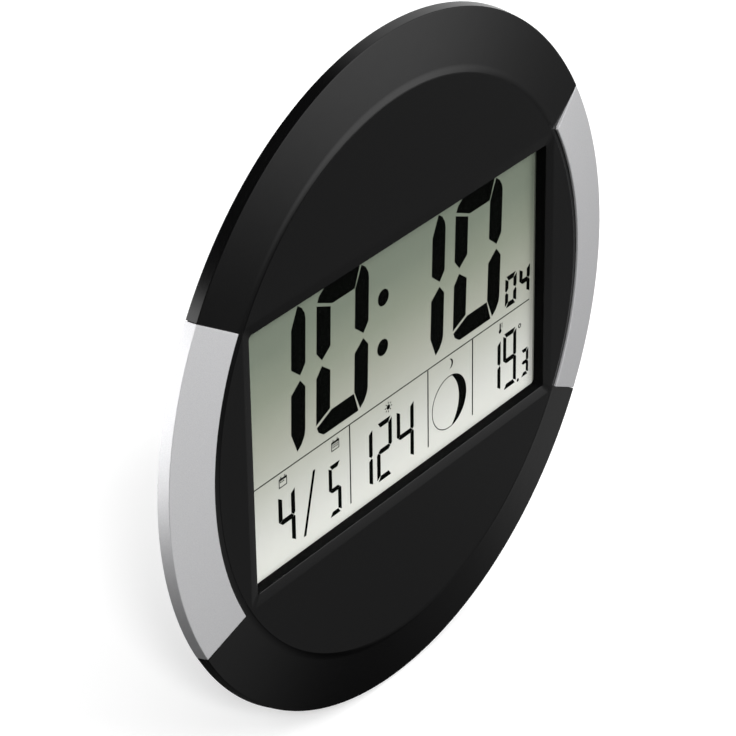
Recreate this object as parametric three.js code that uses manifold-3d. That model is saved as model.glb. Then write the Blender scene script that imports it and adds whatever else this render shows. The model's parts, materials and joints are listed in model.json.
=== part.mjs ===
// Digital wall clock: a round moulded face with a raised disc around a display window, two side trims
// and a shallow rear dish that holds the batteries, the setting buttons and the hanging keyhole.
// Millimetres. The wall is the plane y = 0, the face looks along -y, +x is to the right of the face
// and +z is up. The origin is the centre of the back, on the wall plane.

import * as THREE from "three";
import { mergeVertices, toCreasedNormals } from "three/addons/utils/BufferGeometryUtils.js";
import Module from "manifold-3d";

const wasm = await Module();
wasm.setup();

// Face and rim
const RIM_RADIUS = 150;
const RIM_DEPTH = 5;
const RIM_DRAFT = 0.8;
const RIM_WALL = 3.6;
const RIM_EDGE_ROUND = 0.4;
const RING_WIDTH = 21.7;
const RING_RISE = 1.2;
const RING_WALL = 3;
const STEP_WIDTH = 4.4;
const DISC_RISE = 3.4;
const DISC_WALL = 2.4;
const DISC_EDGE_ROUND = 0.35;

// Side trims
const TRIM_HALF_ANGLE = 30;
const TRIM_RAISE_ANGLE = 0.9;
const TRIM_LAP = 2.4;
const TRIM_RISE = 4.4;
const TRIM_WALL = 1.5;
const TRIM_BAND_WALL = 1.3;
const TRIM_LIP_WALL = 1.4;
const TRIM_GAP = 0.3;
const STAKE_SPREAD = 20;
const STAKE_RADIUS = 1.8;
const STAKE_HEAD_RADIUS = 2.75;
const STAKE_HEAD_HEIGHT = 0.8;

// Display window and the stack of sheets behind it
const WINDOW_WIDTH_SHARE = 0.817;
const WINDOW_HEIGHT_SHARE = 0.4687;
const WINDOW_CENTRE_Z = 1.7;
const WINDOW_DEPTH = 5.8;
const WINDOW_CORNER = 1.5;
const WINDOW_BEVEL_WIDTH = 5;
const WINDOW_BEVEL_DEPTH = 1.25;
const WINDOW_SKIRT_WALL = 2;
const SHEET_MARGIN = 2.5;
const CONTACT_LEDGE = 5;
const LENS_THICKNESS = 1;
const GLASS_THICKNESS = 1.1;
const REFLECTOR_THICKNESS = 0.3;
const SHEET_GAP = 0.1;

// Holder that presses the display into the face
const HOLDER_PLATE = 1.2;
const HOLDER_GAP = 0.2;
const HOLDER_WALL = 1.5;
const HOLDER_SIDE_CLEARANCE = 0.4;
const EAR_POST_SPACING = 9.4;
const EAR_WIDTH = 11;
const EAR_REACH = 8;
const EAR_BOSS_RADIUS = 3;

// Circuit board and its parts
const BOARD_WIDTH = 150;
const BOARD_HEIGHT = 58;
const BOARD_THICKNESS = 1.6;
const BOARD_TOP_MARGIN = 4;
const BOARD_POST_HEIGHT = 1.8;
const BOARD_POST_RADIUS = 2.8;
const BOARD_HOLE_INSET = 5;
const CONTACT_STRIP_LENGTH = 130;
const CONTACT_STRIP_WIDTH = 2.6;
const CONTACT_STRIP_CLEARANCE = 0.3;
const BOARD_PART_PITCH = 21;
const BOARD_PART_INSET = 9.5;
const PART_GAP = 0.1;
const BLOB_RADIUS = 7;
const BLOB_HEIGHT = 1.8;
const CRYSTAL_RADIUS = 1.5;
const CRYSTAL_LENGTH = 8;
const CAPACITOR_RADIUS = 3;
const CAPACITOR_HEIGHT = 7;
const SENSOR_RADIUS = 1.4;
const SENSOR_STEM_LENGTH = 7;

// Rear dish
const DISH_WALL = 2;
const DISH_SHOULDER_WIDTH = 8.5;
const DISH_SHOULDER_DEPTH = 4.5;
const DISH_SLOPE_WIDTH = 16;
const FLANGE_WIDTH = 12.5;
const FLANGE_THICKNESS = 2;
const FLANGE_CLEARANCE = 0.3;

// Housing screws and their wells
const SCREW_INSET = 14.6;
const SCREW_ANGLES = [50, 90, 130, 230, 270, 310];
const WELL_RADIUS = 3.6;
const WELL_WALL = 1.6;
const WELL_DEPTH = 9;
const WELL_SEAT = 2;
const POST_RADIUS = 3.5;
const POST_GAP = 0.3;
const POST_FIN_WALL = 1.2;
const POST_FIN_REACH = 4;
const POST_FIN_HEIGHT = 9;

// Batteries, size AA, and their compartment
const CELL_DIAMETER = 14.2;
const CELL_BODY_LENGTH = 49.2;
const CELL_NUB_LENGTH = 1.3;
const CELL_NUB_RADIUS = 2.75;
const CELL_PITCH = 15;
const CELL_CLEARANCE = 0.4;
const BAY_CENTRE_Z = -40;
const BAY_SIDE_CLEARANCE = 0.6;
const BAY_WALL = 1.4;
const BAY_FLOOR = 1.2;
const BAY_FLOOR_GAP = 0.3;
const BAY_RIDGE_LENGTH = 36;
const BAY_RIDGE_DROP = 3;
const CONTACT_THICKNESS = 0.4;
const CONTACT_GAP = 0.3;
const CONTACT_PLATE_SIZE = 11;
const CONTACT_TAB_WIDTH = 3;
const CONTACT_TAB_LENGTH = 4;
const SPRING_LENGTH = 5;
const SPRING_CURLS = 3.5;
const SPRING_WIRE_RADIUS = 0.35;
const SPRING_BASE_RADIUS = 4.5;
const SPRING_TIP_RADIUS = 2.8;

// Battery door
const DOOR_THICKNESS = 2;
const DOOR_SINK = 0.3;
const DOOR_CLEARANCE = 0.3;
const DOOR_OVERLAP = 1;
const DOOR_PIN_RADIUS = 0.65;
const DOOR_PIN_LENGTH = 1.6;
const DOOR_SOCKET_CLEARANCE = 0.25;
const DOOR_SOCKET_WALL = 1.6;
const DOOR_TONGUE_WIDTH = 12;
const DOOR_TONGUE_LENGTH = 7;
const DOOR_TONGUE_SLIT = 1;
const DOOR_GRIP_RADIUS = 9;
const DOOR_GRIP_FLOOR_RADIUS = 6.3;
const DOOR_GRIP_DEPTH = 1.3;

// Setting buttons
const BUTTON_NAMES = ["mode", "set", "up", "down"];
const BUTTON_PITCH = 22;
const BUTTON_RADIUS = 4;
const BUTTON_HOLE_CLEARANCE = 0.3;
const BUTTON_BOARD_INSET = 21.2;
const BUTTON_RECESS = 1.6;
const BUTTON_RECESS_HALF_HEIGHT = 8;
const BUTTON_STAND = 1.1;
const BUTTON_CROWN = 0.5;
const BUTTON_COLLAR_REACH = 1.2;
const BUTTON_COLLAR_THICKNESS = 1.2;
const BUTTON_STEM_RADIUS = 2;
const RESET_RADIUS = 2.4;
const RESET_STAND = 0.1;
const SWITCH_SIZE = 6;
const SWITCH_HEIGHT = 3.5;
const SWITCH_BORE_RADIUS = 2;
const PLUNGER_RADIUS = 1.7;
const PLUNGER_STAND = 1;
const PLUNGER_ROOT = 1.6;

// Keyhole in the back for the wall screw
const KEYHOLE_SCREW_SPACING = 25.3;
const KEYHOLE_ENTRY_RADIUS = 4.6;
const KEYHOLE_SLOT_WIDTH = 4.6;
const KEYHOLE_SLOT_RISE = 10;
const KEYHOLE_POCKET_HALF_WIDTH = 8;
const KEYHOLE_POCKET_DEPTH = 5.6;
const KEYHOLE_POCKET_WALL = 1.5;
const KEYHOLE_POCKET_MARGIN = 3.5;
const KEYHOLE_POCKET_CORNER = 3;

// Vent slots over the temperature sensor
const VENT_COUNT = 6;
const VENT_PITCH = 4;
const VENT_WIDTH = 1.8;
const VENT_LENGTH = 15;
const VENT_SIDE_INSET = 17;
const VENT_TOP_INSET = 13.8;

// Screws
const HOUSING_SCREW = { headRadius: 2.8, headHeight: 2.2, shankRadius: 1.2, length: 10 };
const HOLDER_SCREW = { headRadius: 2.3, headHeight: 1.6, shankRadius: 0.9, length: 6.5 };
const BOARD_SCREW = { headRadius: 1.9, headHeight: 1.3, shankRadius: 0.7, length: 4 };
const SCREW_CLEARANCE = 0.3;
const SCREW_HEAD_GAP = 0.1;
const SCREW_TIP_ROOM = 0.6;

// Supply wires
const WIRE_RADIUS = 0.7;
const WIRE_SIDES = 8;
const WIRE_STEPS = 14;
const WIRE_END_GAP = 0.3;
const WIRE_RUN_OUT = 8;
const WIRE_SPACING = 6;
const WIRE_BEND = 6;
const WIRE_PAD_INSET = 3;

// Facets, and how far a cut runs past the faces that it opens
const FACE_SEGMENTS = 84;
const DISH_SEGMENTS = 60;
const ROUND_SEGMENTS = 16;
const SMALL_SEGMENTS = 10;
const STEP_SEGMENTS = 3;
const SHOULDER_SEGMENTS = 4;
const RECESS_CORNER_SEGMENTS = 4;
const POCKET_CORNER_SEGMENTS = 2;
const VENT_CORNER_SEGMENTS = 2;
const WINDOW_CORNER_SEGMENTS = 3;
const CREASE_DEGREES = 30;
const CUT_OVERRUN = 1;

// Depths, from the wall towards the viewer
const yDoorFace = -DOOR_SINK;
const yDoorInside = yDoorFace - DOOR_THICKNESS;
const yCellAxis = yDoorInside - CELL_CLEARANCE - CELL_DIAMETER / 2;
const yBayFloor = yCellAxis - CELL_DIAMETER / 2 - CELL_CLEARANCE;
const yBayBottom = yBayFloor - BAY_FLOOR;
const yHolderBack = yBayBottom - BAY_FLOOR_GAP;
const yHolderFront = yHolderBack - HOLDER_PLATE;
const yReflectorBack = yHolderFront - HOLDER_GAP;
const yRearGlassBack = yReflectorBack - REFLECTOR_THICKNESS - SHEET_GAP;
const yFrontGlassBack = yRearGlassBack - GLASS_THICKNESS - SHEET_GAP;
const yLensBack = yFrontGlassBack - GLASS_THICKNESS - SHEET_GAP;
const yLensFront = yLensBack - LENS_THICKNESS;
const yWindowFloor = yLensFront - SHEET_GAP;
const yDisc = yWindowFloor - WINDOW_DEPTH;
const yDiscInside = yDisc + DISC_WALL;
const yRimFront = yDisc + DISC_RISE;
const yRimBack = yRimFront + RIM_DEPTH;
const yFlangeFront = yRimBack - FLANGE_THICKNESS;
const yBoardFront = yHolderBack + BOARD_POST_HEIGHT;
const yBoardBack = yBoardFront + BOARD_THICKNESS;
const yWellSeat = -WELL_DEPTH;
const yPostTop = yWellSeat - WELL_SEAT - POST_GAP;

// Radii, heights and half sizes
const ringInnerRadius = RIM_RADIUS - RING_WIDTH;
const discRadius = ringInnerRadius - STEP_WIDTH;
const trimInnerRadius = ringInnerRadius - TRIM_LAP;
const stakeCircleRadius = (trimInnerRadius + RIM_RADIUS - TRIM_BAND_WALL) / 2;
const screwCircleRadius = discRadius - SCREW_INSET;
const dishRootRadius = RIM_RADIUS - FLANGE_WIDTH;
const dishShoulderRadius = dishRootRadius - DISH_SLOPE_WIDTH;
const windowHalfWidth = WINDOW_WIDTH_SHARE * discRadius;
const windowTop = WINDOW_CENTRE_Z + WINDOW_HEIGHT_SHARE * discRadius;
const windowBottom = WINDOW_CENTRE_Z - WINDOW_HEIGHT_SHARE * discRadius;
const sheetHalfWidth = windowHalfWidth + SHEET_MARGIN;
const sheetBottom = windowBottom - SHEET_MARGIN;
const rearGlassTop = windowTop + SHEET_MARGIN;
const frontGlassTop = rearGlassTop + CONTACT_LEDGE;
const trayHalfWidth = sheetHalfWidth + HOLDER_SIDE_CLEARANCE;
const trayTop = frontGlassTop + HOLDER_SIDE_CLEARANCE;
const trayBottom = sheetBottom - HOLDER_SIDE_CLEARANCE;
const earTopZ = trayTop + HOLDER_WALL + EAR_REACH / 2;
const earBottomZ = trayBottom - HOLDER_WALL - EAR_REACH / 2;
const stripZ = rearGlassTop + CONTACT_LEDGE / 2;
const boardTop = stripZ + BOARD_TOP_MARGIN;
const boardBottom = boardTop - BOARD_HEIGHT;
const partRowZ = boardBottom + BOARD_PART_INSET;
const buttonRowZ = boardBottom + BUTTON_BOARD_INSET;
const ventCentreX = VENT_SIDE_INSET - BOARD_WIDTH / 2;
const ventCentreZ = boardTop - VENT_TOP_INSET;
const keyholeEntryZ = screwCircleRadius - KEYHOLE_SCREW_SPACING;
const bayHalfLength = (CELL_BODY_LENGTH + CELL_NUB_LENGTH + SPRING_LENGTH + 2 * CONTACT_THICKNESS
  + 5 * CONTACT_GAP) / 2;
const bayHalfHeight = CELL_PITCH / 2 + CELL_DIAMETER / 2 + BAY_SIDE_CLEARANCE;
const doorHalfWidth = bayHalfLength + DOOR_OVERLAP;
const doorTop = BAY_CENTRE_Z + bayHalfHeight + DOOR_OVERLAP;
const doorAxisY = yDoorFace - DOOR_THICKNESS / 2;
const doorAxisZ = BAY_CENTRE_Z - bayHalfHeight - DOOR_OVERLAP + DOOR_THICKNESS / 2;
const doorOpeningHalfWidth = doorHalfWidth + DOOR_CLEARANCE;
const flangeRadius = RIM_RADIUS - RIM_WALL - FLANGE_CLEARANCE;

const boardScrewPlaces = [];
for (const x of [-1, 1]) {
  for (const z of [boardBottom + BOARD_HOLE_INSET, boardTop - 2 * BOARD_HOLE_INSET]) {
    boardScrewPlaces.push([x * (BOARD_WIDTH / 2 - BOARD_HOLE_INSET), z]);
  }
}
const housingScrewPlaces = SCREW_ANGLES.map((degrees) => {
  const angle = THREE.MathUtils.degToRad(degrees);
  return [screwCircleRadius * Math.cos(angle), screwCircleRadius * Math.sin(angle)];
});
const earX = housingScrewPlaces[0][0] - EAR_POST_SPACING;
const holderScrewPlaces = [[-earX, earTopZ], [earX, earTopZ], [-earX, earBottomZ], [earX, earBottomZ]];
const buttonPlaces = [...BUTTON_NAMES, "reset"].map((name, index) => ({
  name,
  x: (index - BUTTON_NAMES.length / 2) * BUTTON_PITCH,
  radius: name === "reset" ? RESET_RADIUS : BUTTON_RADIUS,
  stand: name === "reset" ? RESET_STAND : BUTTON_STAND,
}));

// Solids: closed geometries in and out of the boolean library

function toSolid(geometry) {
  const bare = new THREE.BufferGeometry();
  bare.setAttribute("position", geometry.getAttribute("position").clone());
  if (geometry.index) bare.setIndex(geometry.index.clone());
  const merged = mergeVertices(bare, 1e-4);
  const corners = [];
  for (let i = 0; i < merged.index.count; i += 3) {
    const [a, b, c] = [0, 1, 2].map((k) => merged.index.getX(i + k));
    if (a !== b && b !== c && c !== a) corners.push(a, b, c);
  }
  if (signedVolume(merged.getAttribute("position"), corners) < 0) corners.reverse();
  return new wasm.Manifold(new wasm.Mesh({
    numProp: 3,
    vertProperties: new Float32Array(merged.getAttribute("position").array),
    triVerts: new Uint32Array(corners),
  }));
}

function signedVolume(position, corners) {
  const [a, b, c] = [new THREE.Vector3(), new THREE.Vector3(), new THREE.Vector3()];
  let total = 0;
  for (let i = 0; i < corners.length; i += 3) {
    a.fromBufferAttribute(position, corners[i]);
    b.fromBufferAttribute(position, corners[i + 1]);
    c.fromBufferAttribute(position, corners[i + 2]);
    total += a.dot(b.cross(c)) / 6;
  }
  return total;
}

function toGeometry(solid) {
  const mesh = solid.getMesh();
  const geometry = new THREE.BufferGeometry();
  geometry.setAttribute("position", new THREE.BufferAttribute(mesh.vertProperties, 3));
  geometry.setIndex(new THREE.BufferAttribute(mesh.triVerts, 1));
  return toCreasedNormals(geometry, THREE.MathUtils.degToRad(CREASE_DEGREES));
}

function join(solids) {
  return solids.reduce((sum, solid) => sum.add(solid));
}

function cut(solid, tools) {
  return tools.reduce((rest, tool) => rest.subtract(tool), solid);
}

// Basic forms. A span [front, back] runs along y, towards the wall.

function boxSolid([x0, x1], [y0, y1], [z0, z1]) {
  const geometry = new THREE.BoxGeometry(x1 - x0, y1 - y0, z1 - z0);
  return toSolid(geometry.translate((x0 + x1) / 2, (y0 + y1) / 2, (z0 + z1) / 2));
}

function rodSolid(x, z, radius, [y0, y1], segments = SMALL_SEGMENTS, frontRadius = radius) {
  const geometry = new THREE.CylinderGeometry(radius, frontRadius, y1 - y0, segments);
  return toSolid(geometry.translate(x, (y0 + y1) / 2, z));
}

function crossRod(radius, length, segments) {
  return toSolid(new THREE.CylinderGeometry(radius, radius, length, segments).rotateZ(Math.PI / 2));
}

function turnedSolid(profile, segments) {
  const points = profile.map(([radius, y]) => new THREE.Vector2(radius, y));
  return toSolid(new THREE.LatheGeometry([...points, points[0].clone()], segments));
}

function slabSolid(shape, [y0, y1], curveSegments = WINDOW_CORNER_SEGMENTS) {
  const geometry = new THREE.ExtrudeGeometry(shape, {
    depth: y1 - y0, bevelEnabled: false, curveSegments,
  });
  return toSolid(geometry.rotateX(Math.PI / 2).translate(0, y1, 0));
}

function roundedRectangle(halfWidth, zLow, zHigh, corner, centreX = 0) {
  const shape = new THREE.Shape();
  const [left, right] = [centreX - halfWidth, centreX + halfWidth];
  shape.moveTo(left + corner, zLow);
  shape.lineTo(right - corner, zLow);
  shape.absarc(right - corner, zLow + corner, corner, -Math.PI / 2, 0);
  shape.lineTo(right, zHigh - corner);
  shape.absarc(right - corner, zHigh - corner, corner, 0, Math.PI / 2);
  shape.lineTo(left + corner, zHigh);
  shape.absarc(left + corner, zHigh - corner, corner, Math.PI / 2, Math.PI);
  shape.lineTo(left, zLow + corner);
  shape.absarc(left + corner, zLow + corner, corner, Math.PI, 1.5 * Math.PI);
  return shape;
}

function sectorShape(side, inset) {
  const half = THREE.MathUtils.degToRad(TRIM_HALF_ANGLE);
  const reach = 2 * RIM_RADIUS;
  const tip = new THREE.Vector2(inset / Math.sin(half), 0);
  const ends = [half, -half].map((angle) => tip.clone().add(
    new THREE.Vector2(reach * Math.cos(angle), reach * Math.sin(angle))));
  return new THREE.Shape([tip, ...ends].map((point) => {
    point.rotateAround(new THREE.Vector2(), THREE.MathUtils.degToRad(TRIM_RAISE_ANGLE));
    return new THREE.Vector2(side * point.x, point.y);
  }));
}

function screwSolid(x, z, ySeat, screw) {
  const yHead = ySeat + SCREW_HEAD_GAP;
  const shank = rodSolid(x, z, screw.shankRadius, [yHead - screw.length, yHead + screw.headHeight / 2]);
  const head = rodSolid(x, z, screw.headRadius, [yHead, yHead + screw.headHeight]);
  return join([head, shank]);
}

// Front housing: raised disc, stepped ring, rim, window, and the posts that everything screws to

function ringHeight(radius) {
  const outer = RIM_RADIUS - RIM_DRAFT;
  const share = (outer - radius) / (outer - ringInnerRadius);
  return yRimFront - RING_RISE * share;
}

const yStepFoot = yRimFront - RING_RISE;
const hollowStepCurve = new THREE.QuadraticBezierCurve(
  new THREE.Vector2(discRadius, yDisc + DISC_EDGE_ROUND),
  new THREE.Vector2((discRadius + ringInnerRadius) / 2, yStepFoot),
  new THREE.Vector2(ringInnerRadius, yStepFoot),
);

function faceProfile() {
  const rimFrontRadius = RIM_RADIUS - RIM_DRAFT;
  const rimInside = RIM_RADIUS - RIM_WALL;
  const ringInsideFoot = ringInnerRadius + RING_WALL / 2;
  const hollowStep = hollowStepCurve.getPoints(STEP_SEGMENTS);
  return [
    [0, yDisc],
    [discRadius - DISC_EDGE_ROUND, yDisc],
    ...hollowStep.map((point) => [point.x, point.y]),
    [rimFrontRadius - RIM_EDGE_ROUND, ringHeight(rimFrontRadius - RIM_EDGE_ROUND)],
    [rimFrontRadius, yRimFront + RIM_EDGE_ROUND / 2],
    [RIM_RADIUS, yRimBack],
    [rimInside, yRimBack],
    [rimInside, ringHeight(rimInside) + RING_WALL],
    [ringInsideFoot, ringHeight(ringInsideFoot) + RING_WALL],
    [discRadius - DISC_WALL, yDiscInside],
    [0, yDiscInside],
  ];
}

function trimOuterHeight(radius) {
  const outer = RIM_RADIUS - RIM_DRAFT - RIM_EDGE_ROUND;
  const share = (outer - radius) / (outer - trimInnerRadius);
  return ringHeight(outer) + (yRimFront - TRIM_RISE - ringHeight(outer)) * share;
}

function trimInnerPoints(gap) {
  const bandInner = RIM_RADIUS - TRIM_BAND_WALL - gap;
  const bandFront = bandInner - RIM_DRAFT;
  return [
    [bandInner, yRimBack],
    [bandFront, trimOuterHeight(bandFront) + TRIM_WALL + gap],
    [trimInnerRadius - gap, trimOuterHeight(trimInnerRadius) + TRIM_WALL + gap],
  ];
}

function trimPocket(side) {
  const [back, corner, inner] = trimInnerPoints(TRIM_GAP);
  const [yAbove, yBelow] = [yDisc - CUT_OVERRUN, yRimBack + CUT_OVERRUN];
  const ring = turnedSolid([
    [inner[0], yAbove], inner, corner, back, [back[0], yBelow],
    [RIM_RADIUS + CUT_OVERRUN, yBelow], [RIM_RADIUS + CUT_OVERRUN, yAbove],
  ], FACE_SEGMENTS);
  return ring.intersect(slabSolid(sectorShape(side, 0), [yAbove - CUT_OVERRUN, yBelow + CUT_OVERRUN]));
}

function stakePlaces(side) {
  return [-STAKE_SPREAD, 0, STAKE_SPREAD].map((degrees) => {
    const angle = THREE.MathUtils.degToRad(TRIM_RAISE_ANGLE + degrees);
    return [side * stakeCircleRadius * Math.cos(angle), stakeCircleRadius * Math.sin(angle)];
  });
}

const yStakeEnd = ringHeight(stakeCircleRadius) + RING_WALL;
const yStakeHead = yStakeEnd - STAKE_HEAD_HEIGHT;

function stakeHoles(side) {
  return stakePlaces(side).flatMap(([x, z]) => [
    rodSolid(x, z, STAKE_RADIUS + TRIM_GAP, [yDisc, yRimBack]),
    rodSolid(x, z, STAKE_HEAD_RADIUS + TRIM_GAP, [yStakeHead - TRIM_GAP, yRimBack]),
  ]);
}

function windowCut() {
  const through = slabSolid(
    roundedRectangle(windowHalfWidth, windowBottom, windowTop, WINDOW_CORNER), [yDisc - CUT_OVERRUN, 0]);
  const bevelRun = WINDOW_BEVEL_WIDTH * (1 + CUT_OVERRUN / WINDOW_BEVEL_DEPTH);
  const levels = [[bevelRun, yDisc - CUT_OVERRUN], [0, yDisc + WINDOW_BEVEL_DEPTH]];
  const corners = levels.flatMap(([grow, y]) => [
    [-windowHalfWidth - grow, y, windowBottom - grow], [windowHalfWidth + grow, y, windowBottom - grow],
    [windowHalfWidth + grow, y, windowTop + grow], [-windowHalfWidth - grow, y, windowTop + grow],
  ]);
  const geometry = new THREE.BufferGeometry();
  geometry.setAttribute("position", new THREE.Float32BufferAttribute(corners.flat(), 3));
  geometry.setIndex([
    0, 1, 2, 0, 2, 3, 4, 6, 5, 4, 7, 6,
    0, 5, 1, 0, 4, 5, 1, 6, 2, 1, 5, 6, 2, 7, 3, 2, 6, 7, 3, 4, 0, 3, 7, 4,
  ]);
  return join([through, toSolid(geometry)]);
}

function windowSkirt() {
  const wall = WINDOW_SKIRT_WALL;
  const outline = roundedRectangle(
    windowHalfWidth + wall, windowBottom - wall, windowTop + wall, WINDOW_CORNER + wall);
  return slabSolid(outline, [yDiscInside - DISC_WALL / 2, yWindowFloor]);
}

function housingPost(x, z) {
  const post = rodSolid(x, z, POST_RADIUS, [yDiscInside - DISC_WALL / 2, yPostTop], ROUND_SEGMENTS);
  const finTop = yDiscInside + POST_FIN_HEIGHT;
  const reach = POST_RADIUS + POST_FIN_REACH;
  const half = POST_FIN_WALL / 2;
  const span = [yDiscInside - DISC_WALL / 2, finTop];
  return join([
    post,
    boxSolid([x - reach, x + reach], span, [z - half, z + half]),
    boxSolid([x - half, x + half], span, [z - reach, z + reach]),
  ]);
}

function pilotHole(x, z, yTop, screw, ySeat) {
  const depth = ySeat - screw.length - SCREW_TIP_ROOM;
  return rodSolid(x, z, screw.shankRadius + SCREW_CLEARANCE, [depth, yTop + CUT_OVERRUN]);
}

function frontHousing() {
  const body = join([
    turnedSolid(faceProfile(), FACE_SEGMENTS),
    windowSkirt(),
    ...housingScrewPlaces.map(([x, z]) => housingPost(x, z)),
    ...holderScrewPlaces.map(([x, z]) => rodSolid(
      x, z, EAR_BOSS_RADIUS, [yDiscInside - DISC_WALL / 2, yHolderFront - POST_GAP])),
  ]);
  return cut(body, [
    windowCut(),
    trimPocket(-1), trimPocket(1),
    ...stakeHoles(-1), ...stakeHoles(1),
    ...housingScrewPlaces.map(([x, z]) => pilotHole(x, z, yPostTop, HOUSING_SCREW, yWellSeat)),
    ...holderScrewPlaces.map(([x, z]) => pilotHole(x, z, yHolderFront, HOLDER_SCREW, yHolderBack)),
  ]);
}

// Side trims: a thin shell over the ring and the rim, staked through the ring wall

function sideTrim(side) {
  const [back, corner] = trimInnerPoints(0);
  const lipRadius = trimInnerRadius + TRIM_LIP_WALL;
  const lipShare = (trimInnerRadius - discRadius) / (ringInnerRadius - discRadius);
  const yLipFoot = hollowStepCurve.getPoint(lipShare).y - TRIM_GAP;
  const shell = turnedSolid([
    [trimInnerRadius, trimOuterHeight(trimInnerRadius)],
    [RIM_RADIUS - RIM_DRAFT - RIM_EDGE_ROUND, trimOuterHeight(RIM_RADIUS - RIM_DRAFT - RIM_EDGE_ROUND)],
    [RIM_RADIUS - RIM_DRAFT, yRimFront + RIM_EDGE_ROUND / 2],
    [RIM_RADIUS, yRimBack],
    back,
    corner,
    [lipRadius, trimOuterHeight(lipRadius) + TRIM_WALL],
    [lipRadius, yLipFoot],
    [trimInnerRadius, yLipFoot],
  ], FACE_SEGMENTS);
  const sector = slabSolid(sectorShape(side, TRIM_GAP), [yDisc - DISC_RISE, yRimBack + RIM_DEPTH]);
  const stakes = stakePlaces(side).flatMap(([x, z]) => [
    rodSolid(x, z, STAKE_RADIUS, [trimOuterHeight(stakeCircleRadius) + TRIM_WALL / 2, yStakeEnd]),
    rodSolid(x, z, STAKE_HEAD_RADIUS, [yStakeHead, yStakeEnd]),
  ]);
  return join([shell.intersect(sector), ...stakes]);
}

// Display sheets

function sheet(top, yBack, thickness) {
  return boxSolid([-sheetHalfWidth, sheetHalfWidth], [yBack - thickness, yBack], [sheetBottom, top]);
}

function displayHolder() {
  const outerHalf = trayHalfWidth + HOLDER_WALL;
  const span = [yLensFront, yHolderBack];
  const tray = cut(
    boxSolid([-outerHalf, outerHalf], span, [trayBottom - HOLDER_WALL, trayTop + HOLDER_WALL]),
    [boxSolid([-trayHalfWidth, trayHalfWidth], [yLensFront - CUT_OVERRUN, yHolderFront],
      [trayBottom, trayTop])]);
  const ears = holderScrewPlaces.map(([x, z]) => {
    const inward = z > 0 ? -EAR_REACH : EAR_REACH;
    const [low, high] = [z - Math.sign(inward) * EAR_REACH / 2, z + inward].sort((a, b) => a - b);
    return boxSolid([x - EAR_WIDTH / 2, x + EAR_WIDTH / 2], [yHolderFront, yHolderBack], [low, high]);
  });
  const posts = boardScrewPlaces.map(([x, z]) => rodSolid(
    x, z, BOARD_POST_RADIUS, [yHolderFront + HOLDER_PLATE / 2, yBoardFront - PART_GAP]));
  const through = [yHolderFront - CUT_OVERRUN, yHolderBack + CUT_OVERRUN];
  const slotHalfLength = CONTACT_STRIP_LENGTH / 2 + CONTACT_STRIP_CLEARANCE;
  const slotHalfWidth = CONTACT_STRIP_WIDTH / 2 + CONTACT_STRIP_CLEARANCE;
  const stripSlot = boxSolid(
    [-slotHalfLength, slotHalfLength], through, [stripZ - slotHalfWidth, stripZ + slotHalfWidth]);
  const screwHoles = holderScrewPlaces.map(([x, z]) => rodSolid(
    x, z, HOLDER_SCREW.shankRadius + SCREW_CLEARANCE, through));
  const pilots = boardScrewPlaces.map(([x, z]) => rodSolid(
    x, z, BOARD_SCREW.shankRadius + SCREW_CLEARANCE, [yHolderFront + HOLDER_GAP, yBoardFront]));
  return cut(join([tray, ...ears, ...posts]), [stripSlot, ...screwHoles, ...pilots]);
}

function contactStrip() {
  const half = CONTACT_STRIP_LENGTH / 2;
  return boxSolid([-half, half], [yFrontGlassBack + SHEET_GAP, yBoardFront - PART_GAP],
    [stripZ - CONTACT_STRIP_WIDTH / 2, stripZ + CONTACT_STRIP_WIDTH / 2]);
}

// Circuit board and what it carries

function mainBoard() {
  const plate = boxSolid([-BOARD_WIDTH / 2, BOARD_WIDTH / 2], [yBoardFront, yBoardBack],
    [boardBottom, boardTop]);
  return cut(plate, boardScrewPlaces.map(([x, z]) => rodSolid(
    x, z, BOARD_SCREW.shankRadius + SCREW_CLEARANCE,
    [yBoardFront - CUT_OVERRUN, yBoardBack + CUT_OVERRUN])));
}

function controllerBlob() {
  const base = yBoardBack + PART_GAP;
  const profile = [[0, base], [BLOB_RADIUS, base]];
  for (const share of [0.25, 0.5, 0.75]) {
    const angle = share * Math.PI / 2;
    profile.push([BLOB_RADIUS * Math.cos(angle), base + BLOB_HEIGHT * Math.sin(angle)]);
  }
  profile.push([0, base + BLOB_HEIGHT]);
  return turnedSolid(profile, ROUND_SEGMENTS).translate([0, 0, partRowZ]);
}

function quartzCrystal() {
  const can = crossRod(CRYSTAL_RADIUS, CRYSTAL_LENGTH, SMALL_SEGMENTS);
  return can.translate([-BOARD_PART_PITCH, yBoardBack + PART_GAP + CRYSTAL_RADIUS, partRowZ]);
}

function boardCapacitor() {
  const base = yBoardBack + PART_GAP;
  return rodSolid(BOARD_PART_PITCH, partRowZ, CAPACITOR_RADIUS, [base, base + CAPACITOR_HEIGHT],
    ROUND_SEGMENTS);
}

function temperatureSensor() {
  const base = yBoardBack + PART_GAP;
  const z = ventCentreZ;
  const bead = new THREE.SphereGeometry(SENSOR_RADIUS, SMALL_SEGMENTS, SMALL_SEGMENTS / 2);
  bead.translate(ventCentreX, base + SENSOR_STEM_LENGTH, z);
  const stem = rodSolid(ventCentreX, z, SENSOR_RADIUS / 2, [base, base + SENSOR_STEM_LENGTH]);
  return join([toSolid(bead), stem]);
}

// Setting buttons: a cap through the back, a collar behind the wall and a stem down to a push switch

const yRecessFloor = -BUTTON_RECESS;
const yRecessInside = yRecessFloor - DISH_WALL;
const ySwitchBack = yBoardBack + PART_GAP + SWITCH_HEIGHT;
const yPlungerTop = ySwitchBack + PLUNGER_STAND;

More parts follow.
